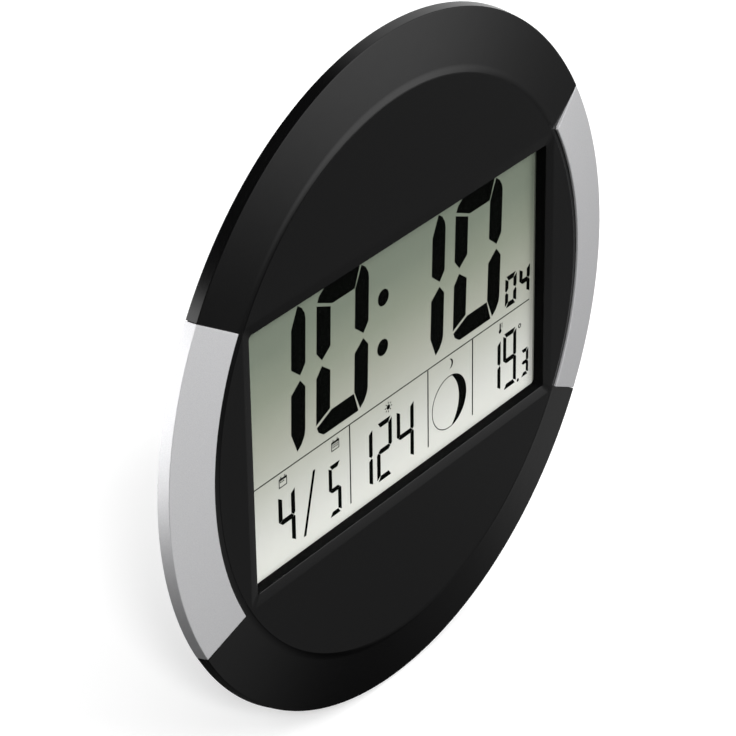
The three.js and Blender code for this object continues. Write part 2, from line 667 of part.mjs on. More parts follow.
function button({ x, radius, stand }) {
  const yTop = yRecessFloor + stand;
  const yCollar = yRecessInside - BUTTON_HOLE_CLEARANCE;
  const yCollarFront = yCollar - BUTTON_COLLAR_THICKNESS;
  const yStem = yPlungerTop + SHEET_GAP;
  const crown = Math.min(BUTTON_CROWN, radius / 3);
  return turnedSolid([
    [0, yStem],
    [BUTTON_STEM_RADIUS, yStem],
    [BUTTON_STEM_RADIUS, yCollarFront],
    [radius + BUTTON_COLLAR_REACH, yCollarFront],
    [radius + BUTTON_COLLAR_REACH, yCollar],
    [radius, yCollar],
    [radius, yTop - crown],
    [radius - crown, yTop],
    [0, yTop],
  ], ROUND_SEGMENTS).translate([x, 0, buttonRowZ]);
}

function switchBody({ x }) {
  const half = SWITCH_SIZE / 2;
  const body = boxSolid([x - half, x + half], [yBoardBack + PART_GAP, ySwitchBack],
    [buttonRowZ - half, buttonRowZ + half]);
  const bore = rodSolid(x, buttonRowZ, SWITCH_BORE_RADIUS,
    [yBoardBack + PART_GAP + SWITCH_HEIGHT / 4, ySwitchBack + CUT_OVERRUN]);
  return cut(body, [bore]);
}

function switchPlunger({ x }) {
  return rodSolid(x, buttonRowZ, PLUNGER_RADIUS, [ySwitchBack - PLUNGER_ROOT, yPlungerTop]);
}

// Rear housing: dish with its flange, screw wells, battery bay, door rebate, button recess, keyhole, vents

function dishProfile() {
  const shoulder = new THREE.QuadraticBezierCurve(
    new THREE.Vector2(dishShoulderRadius - DISH_SHOULDER_WIDTH, 0),
    new THREE.Vector2(dishShoulderRadius - DISH_SHOULDER_DEPTH / 2, 0),
    new THREE.Vector2(dishShoulderRadius, -DISH_SHOULDER_DEPTH),
  ).getPoints(SHOULDER_SEGMENTS).map((point) => [point.x, point.y]);
  const inward = shoulder.map(([radius, y]) => [radius - DISH_WALL / 2, y - DISH_WALL]).reverse();
  return [
    [0, 0],
    ...shoulder,
    [dishRootRadius, yRimBack],
    [flangeRadius, yRimBack],
    [flangeRadius, yFlangeFront],
    [dishRootRadius - DISH_WALL, yFlangeFront],
    ...inward,
    [0, -DISH_WALL],
  ];
}

function screwWell(x, z) {
  return rodSolid(x, z, WELL_RADIUS + WELL_WALL, [yWellSeat - WELL_SEAT, -DISH_WALL / 2], ROUND_SEGMENTS);
}

function screwWellCuts(x, z) {
  return [
    rodSolid(x, z, WELL_RADIUS, [yWellSeat, CUT_OVERRUN], ROUND_SEGMENTS),
    rodSolid(x, z, HOUSING_SCREW.shankRadius + SCREW_CLEARANCE, [yPostTop - CUT_OVERRUN, 0]),
  ];
}

const bayLow = BAY_CENTRE_Z - bayHalfHeight;
const bayHigh = BAY_CENTRE_Z + bayHalfHeight;

function bayBox() {
  return boxSolid([-bayHalfLength - BAY_WALL, bayHalfLength + BAY_WALL], [yBayBottom, -DISH_WALL / 2],
    [bayLow - BAY_WALL, bayHigh + BAY_WALL]);
}

function bayHollow() {
  const hollow = boxSolid([-bayHalfLength, bayHalfLength], [yBayFloor, CUT_OVERRUN], [bayLow, bayHigh]);
  const cradle = crossRod(CELL_DIAMETER / 2 + CELL_CLEARANCE, 2 * bayHalfLength, ROUND_SEGMENTS);
  const grooves = [-1, 1].map((row) => cradle.translate([0, yCellAxis, rowZ(row)]));
  const ridge = boxSolid([-BAY_RIDGE_LENGTH / 2, BAY_RIDGE_LENGTH / 2],
    [yBayFloor - CUT_OVERRUN, yCellAxis - BAY_RIDGE_DROP],
    [BAY_CENTRE_Z - CELL_PITCH / 4, BAY_CENTRE_Z + CELL_PITCH / 4]);
  return join([cut(hollow, [ridge]), ...grooves]);
}

function doorRebate() {
  const width = [-doorOpeningHalfWidth, doorOpeningHalfWidth];
  const hingeRadius = DOOR_THICKNESS / 2 + DOOR_CLEARANCE;
  const opening = boxSolid(width, [yDoorInside - DOOR_CLEARANCE, CUT_OVERRUN],
    [doorAxisZ, doorTop + DOOR_CLEARANCE]);
  const hingeGroove = crossRod(hingeRadius, 2 * doorOpeningHalfWidth, ROUND_SEGMENTS)
    .translate([0, doorAxisY, doorAxisZ]);
  const mouth = boxSolid(width, [doorAxisY, CUT_OVERRUN],
    [doorAxisZ - hingeRadius, doorAxisZ + CUT_OVERRUN]);
  const sockets = crossRod(DOOR_PIN_RADIUS + DOOR_SOCKET_CLEARANCE,
    2 * (doorOpeningHalfWidth + DOOR_PIN_LENGTH), SMALL_SEGMENTS).translate([0, doorAxisY, doorAxisZ]);
  const grip = rodSolid(0, doorTop + DOOR_CLEARANCE, DOOR_GRIP_RADIUS, [-DOOR_GRIP_DEPTH, CUT_OVERRUN],
    ROUND_SEGMENTS, DOOR_GRIP_FLOOR_RADIUS);
  return [opening, hingeGroove, mouth, sockets, grip];
}

function doorSupports() {
  const depth = [yDoorInside - DOOR_CLEARANCE - DOOR_SOCKET_WALL, -DISH_WALL / 2];
  const frame = boxSolid(
    [-doorOpeningHalfWidth - BAY_WALL, doorOpeningHalfWidth + BAY_WALL], depth,
    [doorAxisZ - DOOR_THICKNESS / 2 - DOOR_CLEARANCE - BAY_WALL, doorTop + DOOR_CLEARANCE + BAY_WALL]);
  const blockEnd = doorOpeningHalfWidth + DOOR_PIN_LENGTH + DOOR_SOCKET_WALL;
  const blockHalfHeight = DOOR_PIN_RADIUS + DOOR_SOCKET_WALL;
  const socketBlock = boxSolid(
    [-blockEnd, blockEnd], depth, [doorAxisZ - blockHalfHeight, doorAxisZ + blockHalfHeight]);
  return [frame, socketBlock];
}

function contactSlots() {
  const half = CONTACT_TAB_WIDTH / 2 + CONTACT_GAP;
  return [-1, 1].map((row) => {
    const [low, high] = tabSpan(row);
    return boxSolid([bayHalfLength - CUT_OVERRUN, bayHalfLength + BAY_WALL + CUT_OVERRUN],
      [yCellAxis - half, yCellAxis + half], [low - CONTACT_GAP, high + CONTACT_GAP]);
  });
}

function buttonRecess() {
  const half = (BUTTON_NAMES.length / 2) * BUTTON_PITCH + 2 * BUTTON_RADIUS;
  const outline = (grow) => roundedRectangle(half + grow, buttonRowZ - BUTTON_RECESS_HALF_HEIGHT - grow,
    buttonRowZ + BUTTON_RECESS_HALF_HEIGHT + grow, BUTTON_RECESS_HALF_HEIGHT + grow);
  return {
    tray: slabSolid(outline(DISH_WALL), [yRecessInside, -DISH_WALL / 2], RECESS_CORNER_SEGMENTS),
    hollow: slabSolid(outline(0), [yRecessFloor, CUT_OVERRUN], RECESS_CORNER_SEGMENTS),
    holes: buttonPlaces.map(({ x, radius }) => rodSolid(
      x, buttonRowZ, radius + BUTTON_HOLE_CLEARANCE, [yRecessInside - CUT_OVERRUN, 0], ROUND_SEGMENTS)),
  };
}

function keyhole() {
  const entry = new THREE.Shape();
  const half = KEYHOLE_SLOT_WIDTH / 2;
  const angle = Math.asin(half / KEYHOLE_ENTRY_RADIUS);
  const slotTop = keyholeEntryZ + KEYHOLE_SLOT_RISE;
  entry.absarc(
    0, keyholeEntryZ, KEYHOLE_ENTRY_RADIUS, Math.PI / 2 + angle, 2.5 * Math.PI - angle);
  entry.lineTo(half, slotTop);
  entry.absarc(0, slotTop, half, 0, Math.PI);
  const low = keyholeEntryZ - KEYHOLE_ENTRY_RADIUS - KEYHOLE_POCKET_MARGIN;
  const high = slotTop + half + KEYHOLE_POCKET_MARGIN;
  const yPocket = -DISH_WALL - KEYHOLE_POCKET_DEPTH;
  const pocket = (grow) => roundedRectangle(
    KEYHOLE_POCKET_HALF_WIDTH + grow, low - grow, high + grow, KEYHOLE_POCKET_CORNER + grow);
  return {
    shell: slabSolid(pocket(KEYHOLE_POCKET_WALL), [yPocket - KEYHOLE_POCKET_WALL, -DISH_WALL / 2],
      POCKET_CORNER_SEGMENTS),
    hollow: slabSolid(pocket(0), [yPocket, -DISH_WALL], POCKET_CORNER_SEGMENTS),
    mouth: slabSolid(entry, [-DISH_WALL - CUT_OVERRUN, CUT_OVERRUN], SMALL_SEGMENTS),
  };
}

function ventSlots() {
  const slots = [];
  for (let i = 0; i < VENT_COUNT; i += 1) {
    const x = ventCentreX + (i - (VENT_COUNT - 1) / 2) * VENT_PITCH;
    const outline = roundedRectangle(VENT_WIDTH / 2, ventCentreZ - VENT_LENGTH / 2,
      ventCentreZ + VENT_LENGTH / 2, VENT_WIDTH / 2, x);
    slots.push(slabSolid(outline, [-DISH_WALL - CUT_OVERRUN, CUT_OVERRUN], VENT_CORNER_SEGMENTS));
  }
  return slots;
}

function rearHousing() {
  const recess = buttonRecess();
  const hanger = keyhole();
  const body = join([
    turnedSolid(dishProfile(), DISH_SEGMENTS),
    bayBox(), ...doorSupports(), recess.tray, hanger.shell,
    ...housingScrewPlaces.map(([x, z]) => screwWell(x, z)),
  ]);
  return cut(body, [
    bayHollow(), ...doorRebate(), ...contactSlots(), recess.hollow, ...recess.holes,
    hanger.hollow, hanger.mouth, ...ventSlots(),
    ...housingScrewPlaces.flatMap(([x, z]) => screwWellCuts(x, z)),
  ]);
}

// Battery door: a plate with a rounded hinge edge, two pivot pins and a finger tongue at the top

function batteryDoor() {
  const plate = boxSolid([-doorHalfWidth, doorHalfWidth], [yDoorInside, yDoorFace], [doorAxisZ, doorTop]);
  const hingeEdge = crossRod(DOOR_THICKNESS / 2, 2 * doorHalfWidth, ROUND_SEGMENTS)
    .translate([0, doorAxisY, doorAxisZ]);
  const pinSpan = 2 * (doorOpeningHalfWidth + DOOR_PIN_LENGTH - DOOR_SOCKET_CLEARANCE);
  const pins = crossRod(DOOR_PIN_RADIUS, pinSpan, SMALL_SEGMENTS).translate([0, doorAxisY, doorAxisZ]);
  const slitLow = doorTop - DOOR_TONGUE_LENGTH;
  const slits = [-1, 1].map((side) => {
    const x = side * (DOOR_TONGUE_WIDTH + DOOR_TONGUE_SLIT) / 2;
    return boxSolid([x - DOOR_TONGUE_SLIT / 2, x + DOOR_TONGUE_SLIT / 2],
      [yDoorInside - CUT_OVERRUN, yDoorFace + CUT_OVERRUN], [slitLow, doorTop + CUT_OVERRUN]);
  });
  const groove = boxSolid([-DOOR_TONGUE_WIDTH / 2, DOOR_TONGUE_WIDTH / 2],
    [yDoorFace - DOOR_THICKNESS / 3, yDoorFace + CUT_OVERRUN], [slitLow, slitLow + DOOR_TONGUE_SLIT]);
  return cut(join([plate, hingeEdge, pins]), [...slits, groove]);
}

// Cells and their contacts. Row +1 is the upper cell, with its nub to +x; row -1 is turned round.

const xPlateInside = bayHalfLength - CONTACT_GAP - CONTACT_THICKNESS;

function rowZ(row) {
  return BAY_CENTRE_Z + row * CELL_PITCH / 2;
}

function tabSpan(row) {
  const z = rowZ(row) + row * CONTACT_PLATE_SIZE / 4;
  return [z - CONTACT_THICKNESS, z + CONTACT_THICKNESS];
}

function batteryCell(row) {
  const radius = CELL_DIAMETER / 2;
  const chamfer = radius / 12;
  const nubStart = CELL_BODY_LENGTH;
  const profile = [
    [0, 0], [radius - chamfer, 0], [radius, chamfer], [radius, nubStart - chamfer],
    [radius - chamfer, nubStart], [CELL_NUB_RADIUS, nubStart],
    [CELL_NUB_RADIUS, nubStart + CELL_NUB_LENGTH], [0, nubStart + CELL_NUB_LENGTH],
  ];
  const points = profile.map(([r, y]) => new THREE.Vector2(r, y));
  const geometry = new THREE.LatheGeometry([...points, points[0].clone()], ROUND_SEGMENTS);
  geometry.translate(0, -(CELL_BODY_LENGTH + CELL_NUB_LENGTH), 0).rotateZ(-Math.PI / 2);
  geometry.translate(xPlateInside - CONTACT_GAP, 0, 0);
  if (row < 0) geometry.rotateY(Math.PI);
  return toSolid(geometry.translate(0, yCellAxis, rowZ(row)));
}

function plateAt(side, zLow, zHigh) {
  const half = CONTACT_PLATE_SIZE / 2;
  const xs = [side * xPlateInside, side * (xPlateInside + CONTACT_THICKNESS)].sort((a, b) => a - b);
  return boxSolid(xs, [yCellAxis - half, yCellAxis + half], [zLow, zHigh]);
}

function bridgeContact() {
  const half = CONTACT_PLATE_SIZE / 2;
  return plateAt(-1, rowZ(-1) - half, rowZ(1) + half);
}

function endContact(row) {
  const half = CONTACT_PLATE_SIZE / 2;
  const tab = boxSolid([xPlateInside, bayHalfLength + BAY_WALL + CONTACT_TAB_LENGTH],
    [yCellAxis - CONTACT_TAB_WIDTH / 2, yCellAxis + CONTACT_TAB_WIDTH / 2], tabSpan(row));
  return join([plateAt(1, rowZ(row) - half, rowZ(row) + half), tab]);
}

class ContactSpringCurve extends THREE.Curve {
  getPoint(share, target = new THREE.Vector3()) {
    const angle = share * SPRING_CURLS * 2 * Math.PI;
    const radius = THREE.MathUtils.lerp(SPRING_BASE_RADIUS, SPRING_TIP_RADIUS, share);
    const along = THREE.MathUtils.lerp(
      SPRING_WIRE_RADIUS, SPRING_LENGTH - SPRING_WIRE_RADIUS - CONTACT_GAP, share);
    return target.set(along, radius * Math.cos(angle), radius * Math.sin(angle));
  }
}

function circleShape(radius, sides) {
  const shape = new THREE.Shape();
  for (let i = 0; i < sides; i += 1) {
    const angle = i * 2 * Math.PI / sides;
    shape[i ? "lineTo" : "moveTo"](radius * Math.cos(angle), radius * Math.sin(angle));
  }
  return shape;
}

function contactSpring(row) {
  const geometry = new THREE.ExtrudeGeometry(circleShape(SPRING_WIRE_RADIUS, 5), {
    steps: Math.round(8 * SPRING_CURLS), extrudePath: new ContactSpringCurve(), bevelEnabled: false,
  });
  geometry.translate(-xPlateInside + CONTACT_GAP, 0, 0);
  if (row < 0) geometry.rotateY(Math.PI);
  return toSolid(geometry.translate(0, yCellAxis, rowZ(row)));
}

function leastSpringGap() {
  const pointsPerCurl = 48;
  const points = new ContactSpringCurve().getPoints(Math.round(pointsPerCurl * SPRING_CURLS));
  let least = Infinity;
  for (let i = 0; i < points.length; i += 1) {
    for (let j = i + pointsPerCurl / 2; j < points.length; j += 1) {
      least = Math.min(least, points[i].distanceTo(points[j]) - 2 * SPRING_WIRE_RADIUS);
    }
  }
  return least;
}

function supplyWire(row) {
  const xTabEnd = bayHalfLength + BAY_WALL + CONTACT_TAB_LENGTH + WIRE_END_GAP;
  const x = xTabEnd + WIRE_RUN_OUT - row * WIRE_SPACING / 2;
  const [zLow] = tabSpan(row);
  const zStart = zLow + CONTACT_THICKNESS;
  const [yEnd, zEnd] = [yBoardBack + WIRE_END_GAP, boardBottom + WIRE_PAD_INSET];
  const route = new THREE.CatmullRomCurve3([
    new THREE.Vector3(xTabEnd, yCellAxis, zStart),
    new THREE.Vector3((xTabEnd + x) / 2, yCellAxis, zStart + WIRE_BEND / 4),
    new THREE.Vector3(x, yCellAxis, zStart + 1.5 * WIRE_BEND),
    new THREE.Vector3(x, yEnd + WIRE_BEND, zEnd - WIRE_BEND),
    new THREE.Vector3(x, yEnd + WIRE_BEND / 2, zEnd),
    new THREE.Vector3(x, yEnd, zEnd),
  ]);
  return toSolid(new THREE.ExtrudeGeometry(circleShape(WIRE_RADIUS, WIRE_SIDES), {
    steps: WIRE_STEPS, extrudePath: route, bevelEnabled: false,
  }));
}

// Finishes

const blackPlastic = { color: 0x17181a, roughness: 0.35, metalness: 0 };
const silverPaint = { color: 0xb9babd, roughness: 0.38, metalness: 0.35 };
const darkPlastic = { color: 0x1c1d1f, roughness: 0.6, metalness: 0 };
const clearSheet = { color: 0xe8efe9, roughness: 0.05, metalness: 0, opacity: 0.25, transparent: true };
const displayGlass = { color: 0xa9b4a4, roughness: 0.12, metalness: 0 };
const reflectorFoil = { color: 0xc9d0c6, roughness: 0.3, metalness: 0.6 };
const whitePlastic = { color: 0xd9dad6, roughness: 0.5, metalness: 0 };
const boardGreen = { color: 0x1f5a38, roughness: 0.5, metalness: 0 };
const epoxyBlack = { color: 0x101112, roughness: 0.3, metalness: 0 };
const rubberGrey = { color: 0x6f7377, roughness: 0.8, metalness: 0 };
const brightMetal = { color: 0xc4c6c8, roughness: 0.3, metalness: 1 };
const cellSleeve = { color: 0x3b4a5c, roughness: 0.35, metalness: 0.2 };
const wireRed = { color: 0xa32620, roughness: 0.5, metalness: 0 };
const wireBlack = { color: 0x1a1a1a, roughness: 0.5, metalness: 0 };

const clock = new THREE.Group();

function place(name, solid, finish) {
  const mesh = new THREE.Mesh(toGeometry(solid), new THREE.MeshStandardMaterial(finish));
  mesh.name = name;
  clock.add(mesh);
}

place("front_housing", frontHousing(), blackPlastic);
place("side_trim_left", sideTrim(-1), silverPaint);
place("side_trim_right", sideTrim(1), silverPaint);
place("window_lens", sheet(frontGlassTop, yLensBack, LENS_THICKNESS), clearSheet);
place("lcd_front_glass", sheet(frontGlassTop, yFrontGlassBack, GLASS_THICKNESS), displayGlass);
place("lcd_rear_glass", sheet(rearGlassTop, yRearGlassBack, GLASS_THICKNESS), displayGlass);
place("lcd_reflector", sheet(rearGlassTop, yReflectorBack, REFLECTOR_THICKNESS), reflectorFoil);
place("lcd_holder", displayHolder(), whitePlastic);
place("contact_strip", contactStrip(), rubberGrey);
place("main_board", mainBoard(), boardGreen);
place("controller_blob", controllerBlob(), epoxyBlack);
place("quartz_crystal", quartzCrystal(), brightMetal);
place("board_capacitor", boardCapacitor(), epoxyBlack);
place("temperature_sensor", temperatureSensor(), epoxyBlack);
boardScrewPlaces.forEach(([x, z], index) => {
  place(`board_screw_${index + 1}`, screwSolid(x, z, yBoardBack, BOARD_SCREW), brightMetal);
});
holderScrewPlaces.forEach(([x, z], index) => {
  place(`holder_screw_${index + 1}`, screwSolid(x, z, yHolderBack, HOLDER_SCREW), brightMetal);
});
buttonPlaces.forEach((spot) => {
  place(`button_${spot.name}`, button(spot), darkPlastic);
  place(`switch_${spot.name}`, switchBody(spot), epoxyBlack);
  place(`plunger_${spot.name}`, switchPlunger(spot), rubberGrey);
});
place("rear_housing", rearHousing(), darkPlastic);
place("battery_door", batteryDoor(), darkPlastic);
place("battery_upper", batteryCell(1), cellSleeve);
place("battery_lower", batteryCell(-1), cellSleeve);
place("contact_bridge", bridgeContact(), brightMetal);
place("contact_positive", endContact(1), brightMetal);
place("contact_negative", endContact(-1), brightMetal);
place("contact_spring_upper", contactSpring(1), brightMetal);
place("contact_spring_lower", contactSpring(-1), brightMetal);
place("wire_positive", supplyWire(1), wireRed);
place("wire_negative", supplyWire(-1), wireBlack);
housingScrewPlaces.forEach(([x, z], index) => {
  place(`housing_screw_${index + 1}`, screwSolid(x, z, yWellSeat, HOUSING_SCREW), brightMetal);
});

console.log(`least gap between spring curls: ${leastSpringGap().toFixed(3)} mm`);

export default clock;
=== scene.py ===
"""Digital wall clock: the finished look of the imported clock, in metres, in the frame of its solids.

The wall is the plane y = 0, the face looks along -y, +x is to the right of the face and +z is up.
Sizes below are in millimetres and become metres through MM.
"""

import json
import math
from contextlib import contextmanager

import bpy
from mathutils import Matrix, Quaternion, Vector


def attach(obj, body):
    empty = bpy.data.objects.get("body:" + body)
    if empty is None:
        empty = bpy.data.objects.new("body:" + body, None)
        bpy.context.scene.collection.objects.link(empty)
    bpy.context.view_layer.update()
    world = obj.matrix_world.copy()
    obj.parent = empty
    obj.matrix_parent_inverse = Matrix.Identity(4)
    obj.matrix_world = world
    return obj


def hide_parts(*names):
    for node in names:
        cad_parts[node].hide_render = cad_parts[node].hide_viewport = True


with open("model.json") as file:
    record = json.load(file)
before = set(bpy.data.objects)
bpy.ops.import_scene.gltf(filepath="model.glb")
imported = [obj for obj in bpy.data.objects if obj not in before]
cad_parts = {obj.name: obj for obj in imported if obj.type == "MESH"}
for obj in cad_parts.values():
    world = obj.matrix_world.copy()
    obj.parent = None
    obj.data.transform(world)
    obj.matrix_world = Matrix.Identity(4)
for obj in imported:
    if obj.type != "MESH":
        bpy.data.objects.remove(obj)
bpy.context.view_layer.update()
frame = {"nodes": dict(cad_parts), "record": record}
nodes = frame["nodes"]

MM = 0.001

# Camera, in metres, millimetres of lens and degrees
CAMERA_PLACE = (-0.94061779, -0.7107549, 0.65781565)
CAMERA_AIM = (-0.02285842, -0.0265, 0.0090498)
CAMERA_ROLL = -0.8862
CAMERA_LENS = 160.323
CAMERA_SENSOR = 36
CAMERA_CLIP = (0.05, 30)

# Face and rim
FACE_STEPS = 256
FACE_SMOOTH_ANGLE = 28
DISC_RADIUS = 123
RING_INNER_RADIUS = 126.3
RIM_RADIUS = 150
RIM_DRAFT = 0.8
RIM_WALL = 3.6
RING_WALL = 3
Y_DISC = -29.9
DISC_EDGE_ROUND = 0.22
Y_DISC_INSIDE = -27.5
Y_RING_INNER = -29
Y_RIM_FRONT = -26.5
Y_RIM_BACK = -21.5
STEP_PARTS = 12

# Side trims
TRIM_HALF_ANGLE = 30
TRIM_RAISE_ANGLE = 0.9
TRIM_INNER_RADIUS = 126
TRIM_RISE = 3.8
TRIM_FOOT_INSET = 0.4
TRIM_WALL = 1.5
TRIM_BAND_WALL = 1.3
TRIM_LIP_WALL = 1.1
TRIM_OUTER_ROUND = 0.3
TRIM_INNER_ROUND = 0.6
TRIM_EDGE_ROUND = 0.12
TRIM_GAP = 0.3
STAKE_RADIUS = 1.8
STAKE_HEAD_RADIUS = 2.75
STAKE_HEAD_HEIGHT = 0.8
STAKE_HEAD_ROOM = 1.1
STAKE_ANGLES = (-20, 0, 20)
STAKE_STEPS = 24

# Window and display
WINDOW_HALF_WIDTH = 101.226
WINDOW_HALF_HEIGHT = 58.07
WINDOW_CENTRE_Z = 1.7
WINDOW_BOTTOM = WINDOW_CENTRE_Z - WINDOW_HALF_HEIGHT
WINDOW_TOP = WINDOW_CENTRE_Z + WINDOW_HALF_HEIGHT
WINDOW_BEVEL_WIDTH = 5
WINDOW_BEVEL_DEPTH = 0.75
WINDOW_CORNER = 2
WINDOW_SKIRT_WALL = 2
WINDOW_MATT_MARGIN = 0.02
Y_WINDOW_FLOOR = -24.1
Y_INK = (-21.79, -21.72)

# Screws and the posts behind the face, which start FACE_BITE inside its wall
SCREW_CIRCLE_RADIUS = 109.3
SCREW_ANGLES = (50, 90, 130, 230, 270, 310)
Y_WELL_SEAT = -9
WELL_FLOOR = 2.3
Y_BOARD_BACK = -15.4
Y_HOLDER_EAR = -18.8
POST_RADIUS = 3.5
POST_HOLE_RADIUS = 1.5
POST_HOLE_DEPTH = 9
POST_FIN_HEIGHT = 9
POST_FIN_REACH = 7.5
POST_FIN_HALF = 0.6
FACE_BITE = 1.2

# Push keys
KEY_ROW_Z = 31.97
KEY_PLACES = {"mode": -44, "set": -22, "up": 0, "down": 22}
KEY_RADIUS = 4
Y_KEY_CROWN = -0.5
RESET_KEY_PLACE = 44
RESET_KEY_RADIUS = 2.4
Y_RESET_KEY_CROWN = -1.5
KEY_COLLAR_REACH = 1.2
KEY_STEM_RADIUS = 2
Y_KEY_COLLAR = -3.9
Y_KEY_STEM = -10.7

# Cells
CELL_RADIUS = 7.1
CELL_NUB_RADIUS = 2.75
CELL_LENGTH = 50.5
CELL_SHIFT = 2.65
CELL_ROWS_Z = (-32.5, -47.5)
CELL_ROWS_MIDDLE_Z = -40
CELL_SLEEVE_HALF = 23.4
CELL_BAND_START = 13
Y_CELL = -9.8

# Rear housing and battery door; edges this near to a plane count as in it
REAR_SHARP_ANGLE = 24
SAME_DEPTH = 0.01


# Camera

def add_camera():
    place, aim = Vector(CAMERA_PLACE), Vector(CAMERA_AIM)
    data = bpy.data.cameras.new("camera")
    data.lens, data.sensor_width, data.sensor_fit = CAMERA_LENS, CAMERA_SENSOR, "HORIZONTAL"
    data.clip_start, data.clip_end = CAMERA_CLIP
    camera = bpy.data.objects.new("camera", data)
    bpy.context.scene.collection.objects.link(camera)
    camera.rotation_mode = "QUATERNION"
    camera.location = place
    roll = Quaternion((0, 0, 1), math.radians(CAMERA_ROLL))
    camera.rotation_quaternion = (aim - place).to_track_quat("-Z", "Y") @ roll
    bpy.context.scene.camera = camera


add_camera()


# Shaders

class Link:
    """A shader socket that takes part in sums, products and comparisons."""

    def __init__(self, paint, socket):
        self.paint, self.socket = paint, socket

    def __add__(self, other):
        return self.paint.maths("ADD", self, other)

    def __radd__(self, other):
        return self.paint.maths("ADD", other, self)

    def __sub__(self, other):
        return self.paint.maths("SUBTRACT", self, other)

    def __rsub__(self, other):
        return self.paint.maths("SUBTRACT", other, self)

    def __mul__(self, other):
        return self.paint.maths("MULTIPLY", self, other)

    def __rmul__(self, other):
        return self.paint.maths("MULTIPLY", other, self)

    def __truediv__(self, other):
        return self.paint.maths("DIVIDE", self, other)

    def __lt__(self, other):
        return self.paint.maths("LESS_THAN", self, other)

    def __gt__(self, other):
        return self.paint.maths("GREATER_THAN", self, other)

    def __abs__(self):
        return self.paint.maths("ABSOLUTE", self)


class Paint:
    """The node tree of one material or of the world."""

    def __init__(self, owner):
        owner.use_nodes = True
        self.owner, self.tree = owner, owner.node_tree
        self.tree.nodes.clear()

    def node(self, kind, settings=None, inputs=None):
        """Adds a node: its settings first, then the values or links of its sockets."""
        made = self.tree.nodes.new(kind)
        for name, value in (settings or {}).items():
            if name == "stops":
                for element, (place, colour) in zip(self._elements(made, len(value)), value):
                    element.position, element.color = place, colour
            else:
                setattr(made, name, value)
        for name, value in (inputs or {}).items():
            if isinstance(value, Link):
                self.tree.links.new(value.socket, made.inputs[name])
            else:
                made.inputs[name].default_value = value
        return made

    def _elements(self, ramp, count):
        while len(ramp.color_ramp.elements) < count:
            ramp.color_ramp.elements.new(0.5)
        return ramp.color_ramp.elements

    def out(self, made, name=0):
        return Link(self, made.outputs[name])

    def maths(self, operation, *values):
        made = self.node("ShaderNodeMath", {"operation": operation}, dict(enumerate(values)))
        return self.out(made)

    def smooth(self, value, low, high):
        """0 below low, 1 above high and a soft turn between them."""
        made = self.node("ShaderNodeMapRange", {"interpolation_type": "SMOOTHSTEP"},
                         {"Value": value, "From Min": low, "From Max": high})
        return self.out(made)

    def place(self):
        """The point on the piece, in metres, as three links."""
        point = self.out(self.node("ShaderNodeTexCoord"), "Object")
        apart = self.node("ShaderNodeSeparateXYZ", None, {0: point})
        return [self.out(apart, axis) for axis in "XYZ"]

    def noise(self, size, detail=2, stretch=(1, 1, 1)):
        """Noise whose grains are about size millimetres across, from 0 to 1."""
        point = self.out(self.node("ShaderNodeTexCoord"), "Object")
        stretched = self.node("ShaderNodeMapping", None, {"Vector": point, "Scale": stretch})
        made = self.node("ShaderNodeTexNoise", None, {
            "Vector": self.out(stretched), "Scale": 1 / (size * MM), "Detail": detail})
        return self.out(made)

    def bump(self, height, depth):
        """Turns a height from 0 to 1 into a bump of depth millimetres."""
        return self.out(self.node("ShaderNodeBump", None, {
            "Height": height, "Distance": depth * MM, "Strength": 1.0}))

    def blend(self, share, first, second):
        """first where share is 0, second where it is 1; colours are linear."""
        made = self.node("ShaderNodeMix", {"data_type": "RGBA"}, {0: share, 6: first, 7: second})
        return self.out(made, 2)

    def shader(self, **inputs):
        named = {name.replace("_", " "): value for name, value in inputs.items()}
        return self.out(self.node("ShaderNodeBsdfPrincipled", None, named))

    def finish(self, shader):
        self.node("ShaderNodeOutputMaterial", None, {"Surface": shader})
        return self.owner

    def surface(self, **inputs):
        return self.finish(self.shader(**inputs))


def paint(name):
    return Paint(bpy.data.materials.new(name))


def grey(value):
    return (value, value, value, 1)


def black_gloss():
    """Moulded black plastic of the face: polished, faintly uneven, and matt inside the window."""
    p = paint("black_gloss")
    waves = p.noise(9, 1)
    grain = p.noise(0.35, 2)
    tint = p.blend(grain, (0.0012, 0.0012, 0.0013, 1), (0.0022, 0.0022, 0.0023, 1))
    polished = p.shader(Base_Color=tint, Roughness=0.17 + 0.05 * p.noise(1.2, 3),
                        Normal=p.bump(waves + 0.02 * grain, 0.012), IOR=1.5)
    matt = p.shader(Base_Color=tint, Roughness=0.8 + 0.15 * grain, Specular_IOR_Level=0.12)
    across, _, up = p.place()
    in_width = abs(across / MM) < WINDOW_HALF_WIDTH + WINDOW_MATT_MARGIN
    in_height = abs(up / MM - WINDOW_CENTRE_Z) < WINDOW_HALF_HEIGHT + WINDOW_MATT_MARGIN
    return p.finish(p.out(p.node("ShaderNodeMixShader", None, {
        0: in_width * in_height, 1: polished, 2: matt})))


def black_texture():
    """Spark-eroded black plastic of the back: an even, fine, dull grain."""
    p = paint("black_texture")
    grain = p.noise(0.45, 3)
    tint = p.blend(p.noise(30, 2), (0.012, 0.0125, 0.0135, 1), (0.019, 0.0195, 0.021, 1))
    return p.surface(Base_Color=tint, Roughness=0.46 + 0.2 * grain, Normal=p.bump(grain, 0.06))


def silver_paint():
    """Silver paint over plastic: fine flakes under a satin clear coat."""
    p = paint("silver_paint")
    flakes = p.noise(0.22, 1)
    tint = p.blend(p.smooth(flakes, 0.35, 0.65), (0.69, 0.69, 0.705, 1), (0.78, 0.78, 0.79, 1))
    return p.surface(Base_Color=tint, Metallic=0.36 + 0.12 * flakes, Roughness=0.34 + 0.1 * flakes,
                     Normal=p.bump(flakes, 0.006))


